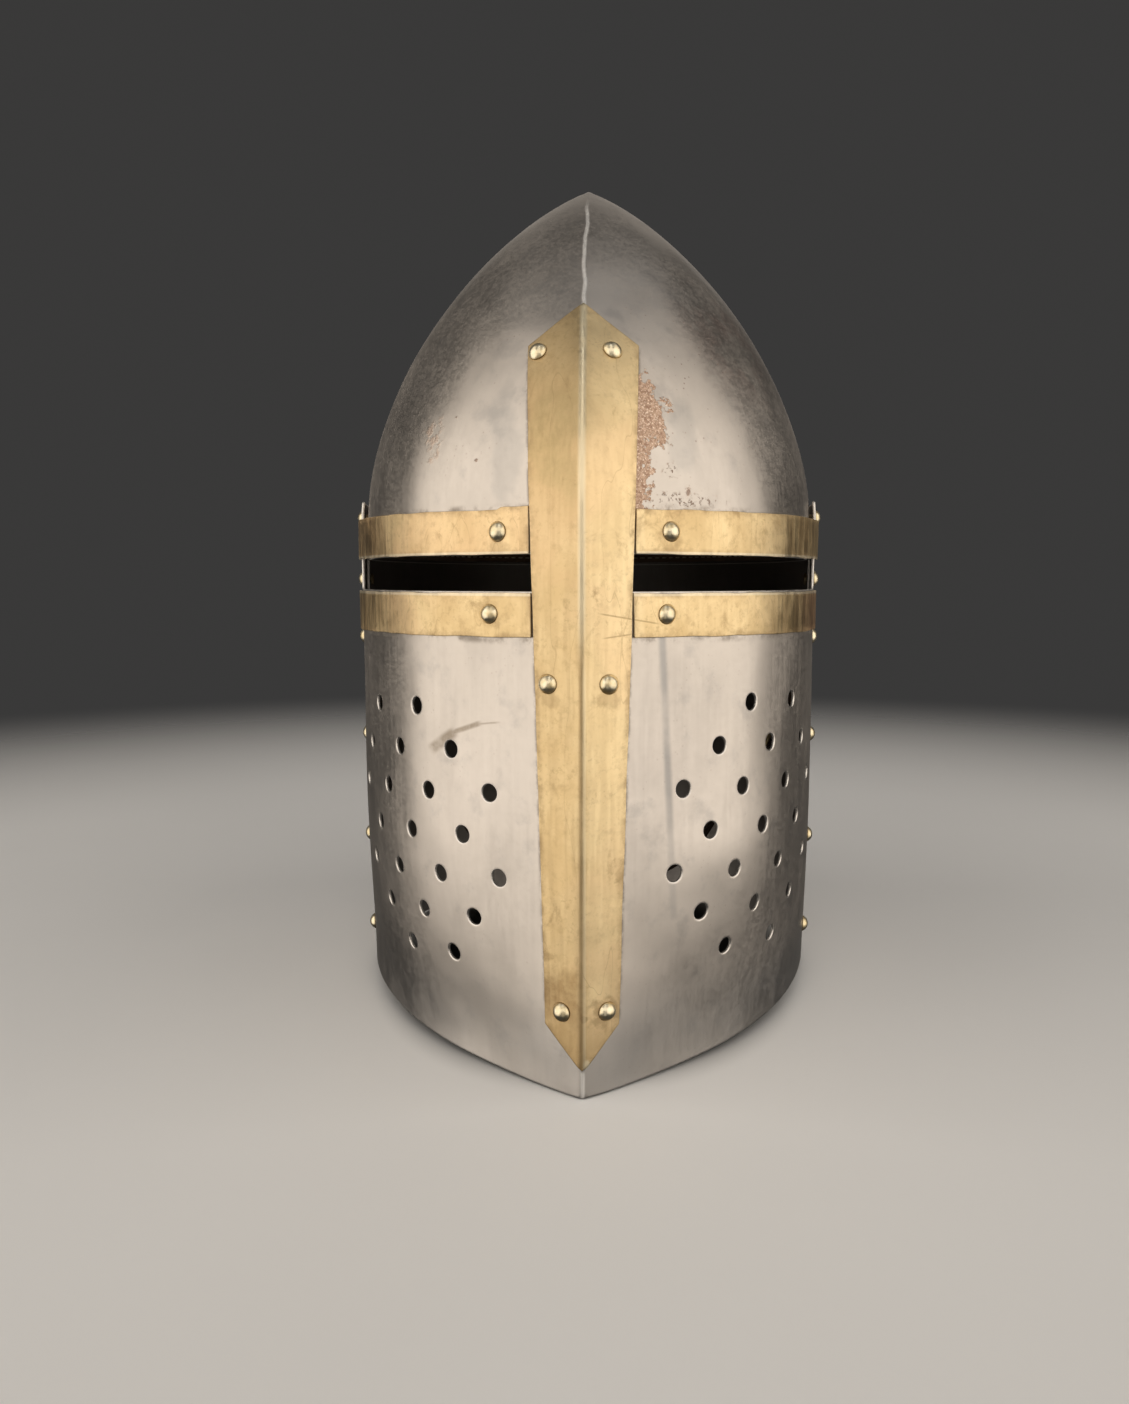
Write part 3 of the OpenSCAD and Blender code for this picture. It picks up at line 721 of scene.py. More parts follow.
def brass_material():
    s = Shade("brass_sheet")
    edge = s.attribute("edge")
    cloud = s.noise(34, 5, 0.62, warp=0.4)
    fine = s.noise(240, 5, 0.65)
    s.color = s.blend(s.span(cloud, 0.32, 0.68), (0.66, 0.485, 0.25), (0.92, 0.72, 0.41))
    s.tint(s.span(fine, 0.48, 0.75, 0.0, 0.55), (0.46, 0.32, 0.16))
    grains = s.span(s.noise(520, 4, 0.7), 0.53, 0.67, 0.0, 0.55)
    s.tint(grains * s.span(s.noise(31, 3, 0.5), 0.35, 0.65, 0.35, 1.0), (0.50, 0.36, 0.18))
    s.tint(s.span(s.noise(19, 3, 0.55, warp=0.5), 0.48, 0.68, 0.0, 0.4), (0.80, 0.54, 0.31))
    # painted shade and light on the bar: the left facet browner, the right one paler
    side = s.span(s.x, -0.004, 0.004)
    on_bar = s.span(abs(s.x), 0.0215, 0.0205)
    s.tint(on_bar * ((1.0 - side) * 0.35), (0.60, 0.44, 0.23))
    s.tint(on_bar * (side * 0.30), (0.92, 0.75, 0.45))
    green = s.spot((-8, -133, 226), (11, 40, 24), 0.45, 60) * s.span(fine, 0.2, 0.75, 0.3, 1.0)
    s.tint(green * 0.55, (0.40, 0.33, 0.16))
    # painted shade over the upper part of the left facet
    upper_left_shade = on_bar * (1.0 - side) * s.span(s.z, 0.19, 0.23)
    s.tint(upper_left_shade * 0.4, (0.46, 0.33, 0.165))
    # tarnish: streaks at the ends of the arms, blotches, and dirt along the edges; dirt and painted contact
    # shadow round the rivets
    ends = s.span(abs(s.x), 0.062, 0.092)
    streaks = s.span(s.noise(1.0, 4, 0.65, s.scaled((260, 260, 22))), 0.42, 0.62)
    s.tint(ends * streaks * 0.75, (0.27, 0.165, 0.075))
    red_end = s.span(s.x, 0.080, 0.094) * s.span(s.z, 0.18, 0.172)
    s.tint(red_end * 0.5, (0.50, 0.25, 0.15))
    blotch = s.span(s.noise(75, 5, 0.7, warp=0.8), 0.56, 0.72)
    s.tint(blotch * 0.45, (0.42, 0.29, 0.145))
    border = s.span(edge, 0.20, 0.0) * s.span(s.noise(190, 5, 0.7), 0.36, 0.66)
    s.tint(border * 0.55, (0.36, 0.235, 0.115))
    # brown stain over the left foot rivet, then dirt and painted contact shadow round the others
    over_rivet = s.spot((-7, -137, 36.5), (12, 30, 12), 0.25, 90) * s.span(fine, 0.25, 0.7, 0.5, 1.0)
    s.tint(over_rivet * 0.75, (0.34, 0.215, 0.095))
    for centre, radii, share in (
            ((8, -137, 30), (7, 30, 6.5), 0.45), ((0.6, -138, 29.5), (2, 30, 2), 0.5),
            ((-11.2, -133, 140), (4.6, 30, 3.5), 0.3), ((8.6, -133, 140), (4.6, 30, 3.5), 0.3),
            ((-28.4, -120, 191), (5, 40, 3.5), 0.3), ((29.6, -120, 191), (5, 40, 3.5), 0.3)):
        s.tint(s.spot(centre, radii, 0.5, 190) * share, (0.27, 0.17, 0.075))
    foot = s.span(s.z + s.span(fine, 0.3, 0.7, -0.004, 0.004), 0.034, 0.020) * on_bar
    s.tint(foot * s.span(side, 0.0, 1.0, 0.6, 0.4), (0.42, 0.28, 0.125))
    s.tint(s.spot((1.5, -138, 13), (1.6, 30, 2.2), 0.0) * 0.6, (0.96, 0.86, 0.62))
    # painted shade and light along the fold: a dark groove with a bright lip below the middle rivets, and a
    # painted highlight on the crest above
    fold_shade = s.span(abs(s.x + 0.0005), 0.0008, 0.0003) * s.span(s.z, 0.158, 0.146)
    s.tint(fold_shade * 0.4, (0.42, 0.27, 0.12))
    fold_lip_highlight = s.span(abs(s.x + -0.0008), 0.0007, 0.0003) * s.span(s.z, 0.158, 0.146)
    s.tint(fold_lip_highlight * 0.5, (0.95, 0.80, 0.52))
    slit_edge = s.math("MINIMUM", abs(s.z - (SLIT_LOW - 0.5) * MM), abs(s.z - (SLIT_TOP + 0.4) * MM))
    clear_of_bar = s.span(abs(s.x), 0.0170, 0.0175)
    slit_wear = s.span(slit_edge, 0.0008, 0.0003) * clear_of_bar
    crest_highlight = s.span(abs(s.x), 0.0018, 0.0004) * s.span(s.z, 0.150, 0.175)
    s.tint(crest_highlight * 0.7, (0.98, 0.86, 0.60))
    marks = s.most(s.line((5, 169), (27, 165), 0.16, 1.2), s.line((6, 160.5), (18, 162), 0.14, 1.2))
    long_marks = s.span(abs(s.noise(1.0, 2, 0.4, s.scaled((90, 40, 16), (0.0, 0.5, 0.0))) - 0.5), 0.004, 0.0)
    marks = s.most(marks, long_marks * 0.5)
    s.tint(marks * 0.5, (0.30, 0.20, 0.09))
    wear = s.span(edge, 0.03, 0.0) * s.span(s.noise(90, 3, 0.6), 0.4, 0.6)
    s.tint(wear * 0.6, (0.95, 0.84, 0.58))
    s.tint(slit_wear * 0.45, (0.97, 0.90, 0.72))
    s.tint(s.attribute("inside") * 0.6, (0.24, 0.15, 0.07))
    brushed = s.noise(1.0, 3, 0.6, s.scaled((700, 700, 40)))
    rough = s.span(cloud, 0.3, 0.7, 0.34, 0.46)
    rough = rough + s.span(brushed, 0.4, 0.6, -0.04, 0.05)
    rough = rough + s.math("ADD", blotch, border, True) * 0.12
    metallic = 1.0 - border * 0.25
    s.bump((s.noise(26, 2, 0.5), 0.5, 0.9), (s.noise(95, 3, 0.5), 0.35, 0.22), (1.0 - marks, 0.3, 0.08),
           (brushed, 0.10, 0.10))
    return s.finish(metallic, rough)


def fitting_material(name, bright, dull, grime_and_shadow, seam_level):
    """Turned and clinched metal: rubbed bright on top, darker where it meets the sheet with grime and painted
    contact shadow.
    """
    s = Shade(name)
    cloud = s.noise(300, 4, 0.6)
    s.color = s.blend(s.span(cloud, 0.35, 0.7), bright, dull)
    # grime and painted contact shadow where the head meets the sheet
    foot = s.span(s.attribute("edge"), seam_level, 0.0)
    s.tint(foot * 0.8, grime_and_shadow)
    pit = s.span(s.cells(1500), 0.16, 0.08, 0.0, 0.5)
    s.tint(pit, grime_and_shadow)
    rough = s.span(cloud, 0.3, 0.7, 0.29, 0.37) + foot * 0.25
    s.bump((s.noise(420, 3, 0.5), 0.4, 0.14), (s.noise(1500, 3, 0.6), 0.15, 0.05))
    return s.finish(1.0, rough)


def leather_material(name, dark, light, grain=700.0, tone=0.5):
    s = Shade(name)
    cloud = s.noise(38, 5, 0.6, warp=0.3)
    s.color = s.blend(s.span(cloud, 0.3, 0.7), dark, light)
    edge = s.attribute("edge")
    s.tint(s.span(edge, 0.14, 0.0) * 0.7, tuple((c * 0.35 for c in dark)))
    s.tint(s.span(s.noise(210, 5, 0.7), 0.55, 0.75, 0.0, 0.5), tuple((c * 0.5 for c in dark)))
    skin = s.cells(grain)
    creases = s.cells(grain * 0.45, feature="F2")
    rough = s.span(s.noise(120, 4, 0.6), 0.3, 0.7, 0.48, 0.68)
    s.bump((s.noise(60, 4, 0.6), 0.5, 0.7), (creases, 0.35, 0.25), (skin, 0.4, 0.18))
    s.bsdf.inputs["Sheen Weight"].default_value = 0.12
    s.bsdf.inputs["Sheen Roughness"].default_value = 0.5
    s.bsdf.inputs["Specular IOR Level"].default_value = tone
    return s.finish(0.0, rough)


def thread_material(name, color_a, color_b):
    s = Shade(name)
    twist = s.noise(1.0, 2, 0.5, s.scaled((2600, 2600, 1400), (0.5, 0.4, 0.3)))
    s.bump((twist, 0.6, 0.2))
    s.color = s.blend(s.span(twist, 0.35, 0.65), color_a, color_b)
    return s.finish(0.0, s.span(twist, 0.3, 0.7, 0.6, 0.85))


STEEL = steel_material()
BRASS = brass_material()
BRASS_FITTING = fitting_material("brass_rivets", (0.93, 0.83, 0.60), (0.78, 0.63, 0.36),
                                 (0.20, 0.13, 0.06), 0.20)
STEEL_FITTING = fitting_material("steel_rivets", (0.62, 0.58, 0.53), (0.45, 0.42, 0.39),
                                 (0.14, 0.11, 0.09), 0.16)
BUCKLE = fitting_material("buckle_brass", (0.78, 0.63, 0.36), (0.60, 0.45, 0.22), (0.22, 0.14, 0.06), 0.16)
LINER = leather_material("liner_leather", (0.17, 0.095, 0.05), (0.30, 0.185, 0.10), 650)
STRAP = leather_material("strap_leather", (0.10, 0.05, 0.026), (0.20, 0.11, 0.06), 800, 0.6)
LACE = leather_material("lace_leather", (0.26, 0.165, 0.09), (0.38, 0.26, 0.15), 1500)
THREAD = thread_material("waxed_thread", (0.52, 0.45, 0.33), (0.74, 0.66, 0.50))

# ---- Steel plates ------------------------------------------------------------------------

SEAM_ZS = (180.5, 207.0)
LOWER_SEAM_ZS = (112.0, 66.0, 24.0)
BACK_RIVET_Z = 198.0
BACK_RIVET_ANGLES = [180 + 24 * i for i in range(-3, 4)]
PLATE_SPACING, BACK_SPACING, SKULL_SPACING, BAR_SPACING, ARM_SPACING = 3.0, 3.6, 3.4, 1.9, 2.2
BAR_TOP_SPOTS = ((-15.2, 257.3), (9.6, 257.3))
BAR_MIDDLE_SPOTS = ((-11.2, 145.2), (8.6, 145.2))
BAR_BOTTOM_SPOTS = ((-6.6, 30.8), (8.1, 30.8))
UPPER_ARM_SPOTS = ((-28.4, 196.3), (29.6, 196.3))
LOWER_ARM_SPOTS = ((-31.8, 168.4), (28.3, 168.4))
BORE_R = (SHANK_D + 0.5) / 2


def place_of(spot):
    return float(angle_at_x(spot[0], spot[1])), spot[1]


def bores(surf, flat_of, places):
    return [hole_on(surf, flat_of(a, z), BORE_R, 16) for a, z in places]


def breath_places(side):
    starts, counts = (1, 0.5, 0, 0.5, 0, 0.5, 1), (2, 3, 4, 3, 4, 3, 2)
    for r, (first, count) in enumerate(zip(starts, counts)):
        for c in range(count):
            step = first + c
            if side < 0:
                arc = 40.2 - 1.83 * r + (32.2 - 1.24 * r) * step + 0.3 * step * step
                z = 136 - 15.45 * r - (0.064 + 0.008 * r) * (arc - 40)
            else:
                arc = 42.8 - 1.76 * r + (28.3 - 0.31 * r) * step + 1.04 * step * step
                z = 137.2 - 15.25 * r - (0.052 + 0.009 * r) * (arc - 40)
            yield arc, z


def plate_flat(a, z):
    return float(arc_of(a)), z


def face_outline():
    us = np.linspace(-1, 1, 121)
    foot = rim(us * PLATE_EDGE)
    bottom = cols(arc_of(us * (PLATE_EDGE + edge_shift(foot))), foot)
    zs = np.linspace(foot[-1], EAR_TOP, 90)[1:]
    right = cols(arc_of(PLATE_EDGE + edge_shift(zs)), zs)
    ear_a = math.degrees(math.acos((1.5 - EAR_Y) / (RIDGE_Y + 1.5 - KEEL)))
    ear_s, top = float(arc_of(ear_a)), SLIT_LOW + 0.6
    corner = np.array([[ear_s + 0.8, EAR_TOP], [ear_s, EAR_TOP - 0.8], [ear_s, top + 1.5],
                       [ear_s - 0.4, top + 0.4],
                       [ear_s - 1.5, top]])
    brow = resample(np.concatenate([corner, corner[::-1] * (-1, 1)]), 1.6)
    # resample closes the loop, so the way back along the ears' tops is cut off
    last = np.argmin(np.linalg.norm(brow - corner[0] * (-1, 1), axis=1))
    brow = brow[:last + 1]
    left = right[::-1] * (-1, 1)
    loop = np.concatenate([bottom, right, brow, left[:-1]])
    keep_it = np.ones(len(loop), bool)
    step = np.linalg.norm(loop - np.roll(loop, 1, 0), axis=1)
    keep_it[step < 0.15] = False
    return loop[keep_it]


face_holes = [hole_on(on_plate, (side * arc, z), BREATH_D / 2, 30, 1 - 0.03 * math.sin(arc + z), arc * side)
              for side in (-1, 1) for arc, z in breath_places(side)]
face_places = [place_of(s) for s in BAR_MIDDLE_SPOTS + BAR_BOTTOM_SPOTS + LOWER_ARM_SPOTS]
face_places += [(side * seam_at(z), z) for side in (-1, 1) for z in (*SEAM_ZS, STRAP_Z, *LOWER_SEAM_ZS)]
face_holes += bores(on_plate, plate_flat, face_places)
face = plate("face_sheet", on_plate, resample(face_outline(), 1.8), 0.0, -STEEL_T, PLATE_SPACING,
             face_holes, 0.42, crease=0.0)
keep(face, "helm", "steel", STEEL, "face_plate")


def back_outline():
    us = np.linspace(-1, 1, 121)
    half = 180 - BACK_EDGE
    foot = rim(180 - np.abs(us) * half)
    bottom = cols(arc_of(180 + us * (half - edge_shift(foot))), foot)
    zs = np.linspace(foot[-1], BACK_TOP, 80)[1:]
    right = cols(arc_of(180 + half - edge_shift(zs)), zs)
    middle = float(arc_of(180))
    top = cols(np.linspace(right[-1, 0], 2 * middle - right[-1, 0], 160)[1:-1], np.full(158, BACK_TOP))
    left = right[::-1] * (-1, 1) + (2 * middle, 0)
    return np.concatenate([bottom, right, top, left[:-1]])


back_places = [(side * seam_at(z) % 360, z) for side in (-1, 1)
               for z in (SEAM_ZS[0], STRAP_Z, *LOWER_SEAM_ZS)]
back_places += [(a, BACK_RIVET_Z) for a in BACK_RIVET_ANGLES]
back = plate("back_sheet", on_plate, resample(back_outline(), 2.2), -BACK_DEPTH, -BACK_DEPTH - STEEL_T,
             BACK_SPACING,
             bores(on_plate, plate_flat, back_places), 0.28)
keep(back, "helm", "steel", STEEL, "back_plate")

# The skull is laid out flat as a disc: distance from its point along the side, and the angle
REACH_Z = np.linspace(SKULL_EDGE - 3, HELM_H, 900)[::-1]
_side = body(np.full(REACH_Z.shape, 60.0), REACH_Z)
REACH_V = run_along(_side)
SKULL_POINT = np.array([0.0, 0.0, HELM_H])


def on_skull(p, q, d):
    p, q, d = spread(p, q, d)
    v, a = np.hypot(p, q), np.degrees(np.arctan2(p, -q))
    z = np.interp(v, REACH_V, REACH_Z)
    out = off_body(a, np.minimum(z, HELM_H - 0.05), d - inset(a, z))
    tip = (v < 0.8)[..., None]
    return np.where(tip, SKULL_POINT + cols(0 * d, 0 * d, 1.15 * d - 0.1), out)


def skull_flat(a, z):
    v = float(np.interp(z, REACH_Z[::-1], REACH_V[::-1]))
    return v * math.sin(math.radians(a)), -v * math.cos(math.radians(a))


edge_v = float(np.interp(SKULL_EDGE, REACH_Z[::-1], REACH_V[::-1]))
turn = np.radians(np.arange(0, 360, 0.75)) - math.pi / 2
skull_outline = edge_v * cols(np.cos(turn), np.sin(turn))
skull_places = [place_of(s) for s in BAR_TOP_SPOTS + UPPER_ARM_SPOTS]
skull_places += [(side * SEAM_ANGLE, SEAM_ZS[1]) for side in (-1, 1)] + [(a, BACK_RIVET_Z)
                                                                         for a in BACK_RIVET_ANGLES]
skull = plate("skull_sheet", on_skull, skull_outline, 0.0, -STEEL_T, SKULL_SPACING,
              bores(on_skull, skull_flat, skull_places), 0.28,
              crease=0.0)
keep(skull, "helm", "steel", STEEL, "skull")

# ---- Brass cross -------------------------------------------------------------------------


def on_bar(x, z, d):
    return off_body(angle_at_x(x, z), z, d)


corners = np.array([[0.0, BAR_TIP_LOW], [BAR_HALF_LOW, BAR_LOW], [BAR_HALF_HIGH, BAR_HIGH],
                    [0.0, BAR_TIP_HIGH],
                    [-BAR_HALF_HIGH, BAR_HIGH], [-BAR_HALF_LOW, BAR_LOW]])
bar_outline = wobble(resample(corners, 1.4), 0.22, 3.0, 0.05)
bar_outline[0], bar_outline[np.argmax(bar_outline[:, 1])] = corners[0], corners[3]
bar_bores = [hole_on(on_bar, s, BORE_R, 16) for s in BAR_TOP_SPOTS + BAR_MIDDLE_SPOTS + BAR_BOTTOM_SPOTS]
bar = plate("brass_bar", on_bar, bar_outline, LAP + BRASS_T, LAP, BAR_SPACING, bar_bores, 0.26, crease=0.0)
keep(bar, "helm", "brass", BRASS, "cross_bar")


def arm_outline(side, low, way):
    widest = max(bar_half(low), bar_half(low + way * ARM_H)) + 0.4
    start, finish = float(arc_of(angle_at_x(widest, low))), float(arc_of(SEAM_ANGLE - 4))
    us = np.linspace(0, 1, 90)
    near = cols(mix(start, finish, us), np.full(90, low))
    far = cols(mix(start, finish, us), low + way * (ARM_H + ARM_FLARE * us))
    if (side, way) == (-1, 1):
        far[:, 1] += 1.1 * (1 - smooth((far[:, 0] - start - 10) / 2.5))
    cut = np.array([[-0.3, way * 1.2], [0.0, way * 2.2]])
    end_near, end_far = near[-1] + cut, far[-1] - cut[::-1] * (-1, 1)
    loop = np.concatenate([near[:-1], [near[-1] - (0.9, 0)], end_near[1:], end_far[:1], [far[-1] - (0.9, 0)],
                           far[-2::-1]])
    loop[:, 0] *= side
    if side * way < 0:
        loop = loop[::-1]
    return wobble(resample(loop, 1.5), 0.35, 11.0 + side + 3 * way)


for name, side, low, way, spot in (("upper_arm_left", -1, SLIT_TOP, 1, UPPER_ARM_SPOTS[0]),
                                   ("upper_arm_right", 1, SLIT_TOP, 1, UPPER_ARM_SPOTS[1]),
                                   ("lower_arm_left", -1, SLIT_LOW, -1, LOWER_ARM_SPOTS[0]),
                                   ("lower_arm_right", 1, SLIT_LOW, -1, LOWER_ARM_SPOTS[1])):
    bore = [hole_on(on_plate, plate_flat(*place_of(spot)), BORE_R, 16)]
    arm = plate("brass_" + name, on_plate, arm_outline(side, low, way), LAP + BRASS_T - 0.1, LAP,
                ARM_SPACING, bore, 0.26)
    keep(arm, "helm", "brass", BRASS, name)

# ---- Rivets ------------------------------------------------------------------------------

BRASS_SEAT = LAP + BRASS_T
BRASS_TAIL = STEEL_T + 0.4
LINER_T = 2.0
LINER_GAP = 0.3
LAP_TAIL = BACK_DEPTH + STEEL_T + 0.3
CREST_TAIL = SKULL_INSET + STEEL_T + LINER_T + 0.6
STRAP_TAIL = 8.9
RIVET_SIDES = 32


def rivet_group(name, node, body_slot, material, items):
    parts = [rivet(a, z, seat, tail, 1.7 * i + a + z) for i, (a, z, seat, tail) in enumerate(items)]
    points, faces = join(parts)
    span_levels = []
    for (a, z, seat, tail) in items:
        for r, h in rivet_profile(seat, tail):
            span_levels += [min(max(h - seat, 0) / 4 + 0.02, 1)] * (1 if r <= 1e-6 else RIVET_SIDES)
    obj = make_object(name, points, faces, edge=span_levels)
    return keep(obj, "helm", body_slot, material, node)


for name, node, spots, seat, tail in (
        ("rivets_bar_top", "bar_rivets_top", BAR_TOP_SPOTS, BRASS_SEAT, BRASS_TAIL),
        ("rivets_bar_middle", "bar_rivets_middle", BAR_MIDDLE_SPOTS, BRASS_SEAT, BRASS_TAIL),
        ("rivets_bar_foot", "bar_rivets_bottom", BAR_BOTTOM_SPOTS, BRASS_SEAT, BRASS_TAIL),
        ("rivets_upper_arms", "upper_arm_rivets", UPPER_ARM_SPOTS, BRASS_SEAT - 0.1,
         STEEL_T + LINER_GAP + LINER_T + 0.3),
        ("rivets_lower_arms", "lower_arm_rivets", LOWER_ARM_SPOTS, BRASS_SEAT - 0.1, BRASS_TAIL)):
    rivet_group(name, node, "rivet_brass", BRASS_FITTING, [(*place_of(s), seat, tail) for s in spots])
for name, side in (("left", -1), ("right", 1)):
    seam = [(side * SEAM_ANGLE, SEAM_ZS[0], 0.0, LAP_TAIL), (side * SEAM_ANGLE, SEAM_ZS[1], 0.0, CREST_TAIL)]
    seam += [(side * float(seam_at(z)), z, 0.0, LAP_TAIL) for z in LOWER_SEAM_ZS]
    rivet_group("rivets_seam_" + name, "seam_rivets_" + name, "rivet_brass", BRASS_FITTING, seam)
    rivet_group("rivet_strap_" + name, "strap_rivet_" + name, "rivet_brass", BRASS_FITTING,
                [(side * SEAM_ANGLE, STRAP_Z, 0.0, STRAP_TAIL)])
rivet_group("rivets_back", "back_rivets", "steel_fittings", STEEL_FITTING,
            [(a, BACK_RIVET_Z, -BACK_DEPTH, CREST_TAIL) for a in BACK_RIVET_ANGLES])

# ---- Lofted and stitched pieces ----------------------------------------------------------

def outward(points, faces):
    """The same solid with its faces turned outwards."""
    total = 0.0
    for face in faces:
        a = points[face[0]]
        for i in range(1, len(face) - 1):
            total += float(np.dot(a, np.cross(points[face[i]], points[face[i + 1]])))
    return (points, faces) if total > 0 else (points, [f[::-1] for f in faces])


def loft(rings, closed=False):
    """Solid through rings of the same number of points, closed on itself or with a fan at each end."""
    rings = np.asarray(rings, float)
    n, m = rings.shape[:2]
    points = rings.reshape(-1, 3)
    faces = []
    for i in range(n if closed else n - 1):
        k = (i + 1) % n
        for j in range(m):
            l = (j + 1) % m
            faces.append((i * m + j, i * m + l, k * m + l, k * m + j))
    if not closed:
        points = np.concatenate([points, rings[0].mean(0)[None], rings[-1].mean(0)[None]])
        first, last = n * m, n * m + 1
        for j in range(m):
            l = (j + 1) % m
            faces.append((first, l, j))
            faces.append((last, (n - 1) * m + j, (n - 1) * m + l))
    return outward(points, faces)


def rounded_section(half_a, half_b, corner, per_corner=4):
    """Rounded rectangle as (a, b) pairs."""
    out = []
    for ca, cb, start in ((1, 1, 0), (-1, 1, 90), (-1, -1, 180), (1, -1, 270)):
        for t in np.linspace(start, start + 90, per_corner):
            out.append((ca * (half_a - corner) + corner * math.cos(math.radians(t)),
                        cb * (half_b - corner) + corner * math.sin(math.radians(t))))
    return np.array(out)


def solid(name, parts, body_name, slot, material, *nodes):
    points, faces = join(parts)
    return keep(make_object(name, points, faces, edge=np.ones(len(points))), body_name, slot, material,
                *nodes)


STITCH_ROWS = np.array([(-1.0, -0.34, 0.30), (-0.82, 0.0, 0.72), (-0.4, 0.16, 1.0), (0.4, 0.16, 1.0),
                        (0.82, 0.0, 0.72), (1.0, -0.34, 0.30)])


def stitches(spots, length, radius):
    """Thread stitches at (place, direction, outward) triples, dipping into the leather at both ends."""
    t = turns(6)
    parts = []
    for place, way, out in spots:
        way = unit(way)
        out = unit(out - way * (out @ way))
        side = np.cross(way, out)
        parts.append(loft([place + way * (at * length / 2) + out * lift
                           + radius * size * (np.cos(t)[:, None] * side + np.sin(t)[:, None] * out)
                           for at, lift, size in STITCH_ROWS]))
    return parts


def row_of(surf, path, depth, pitch, out_sign):
    """Stitch places along a path of flat coordinates on a surface, on its side at the given depth."""
    run = run_along([surf(p, q, depth) for p, q in path])
    count = max(1, int(run[-1] / pitch))
    for s in (np.arange(count) + 0.5) * run[-1] / count:
        (p, q), after, before = ([float(np.interp(at, run, [v[i] for v in path])) for i in (0, 1)]
                                 for at in (s, min(s + 0.2, run[-1]), max(s - 0.2, 0)))
        here = surf(p, q, depth)
        yield here, surf(*after, depth) - surf(*before, depth), out_sign * (surf(p, q, depth + 0.5) - here)


# ---- Liner -------------------------------------------------------------------------------

BAND_LOW, BAND_HIGH = 190.0, 216.0
TONGUE_FOOT, CROWN_Z, CROWN_R = 210.5, 296.0, 11.0
TONGUE_T = 1.5
LACE_R, LACE_D = 22.0, 2.0


def liner_depth(a, z):
    return inset(a, z) + STEEL_T + LINER_GAP


def on_band(a, z, d):
    return off_body(a, z, d - liner_depth(a, z))


band_angles = np.arange(0, 360, 1.5)
band_section = rounded_section(LINER_T / 2, (BAND_HIGH - BAND_LOW) / 2, 0.8, 5)
band_mid = (BAND_HIGH + BAND_LOW) / 2
rings = []
for a in band_angles:
    wave = 0.35 * noise.noise((math.cos(math.radians(a)) * 6, math.sin(math.radians(a)) * 6, 4.0))
    depth = band_section[:, 0] - LINER_T / 2
    level = band_mid + band_section[:, 1] * (1 - 0.012 * wave) + wave
    rings.append(on_band(a, np.clip(level, BAND_LOW, BAND_HIGH), depth))
points, faces = loft(rings, closed=True)
rise = np.tile(np.minimum((np.abs(band_section[:, 1]) * -1 + (BAND_HIGH - BAND_LOW) / 2) / 10, 1), len(rings))
band = make_object("liner_brow_band", points, faces, edge=rise)
keep(band, "helm", "liner_leather", LINER, "liner_band")

rows = []
for z in (BAND_LOW + 2.6, BAND_HIGH - 3.2):
    rows += list(row_of(on_band, [(a, z) for a in np.arange(0, 361, 3)], -LINER_T, 4.6, -1))
solid("stitches_band", stitches(rows, 3.3, 0.38), "helm", "lace_leather", THREAD)


def dome(a, k, d):
    a, k, d = spread(a, k, d)
    foot = off_body(a, TONGUE_FOOT, -liner_depth(a, TONGUE_FOOT) - LINER_T - 0.4 - d)
    t = np.radians(a)
    rise, hold = np.sin(np.radians(90 * k)), np.cos(np.radians(84 * k)) ** 1.2
    return cols(mix(CROWN_R * np.sin(t), foot[..., 0], hold), mix(-CROWN_R * np.cos(t), foot[..., 1], hold),
                     mix(TONGUE_FOOT, CROWN_Z - d, rise))


TONGUE_K = np.linspace(0, 1, 200)


def tongue_layout(mid):
    """Distance from the crown's rim along the tongue's middle, by share of the way up."""
    line = dome(np.full(200, mid), TONGUE_K, 0.0)
    run = run_along(line)
    return run[-1] - run + CROWN_R


def lace_slit(v):
    """Slit for the lace across the tongue, 7 mm by 3 mm once the layout's squeeze is undone."""
    squeeze = v / LACE_R
    outline = rounded_section(3.6, 1.5, 1.4, 6)

    def ring(grow):
        r = offset_loop(outline, -grow)
        return cols(r[:, 0] * squeeze, r[:, 1] - v)
    return ring


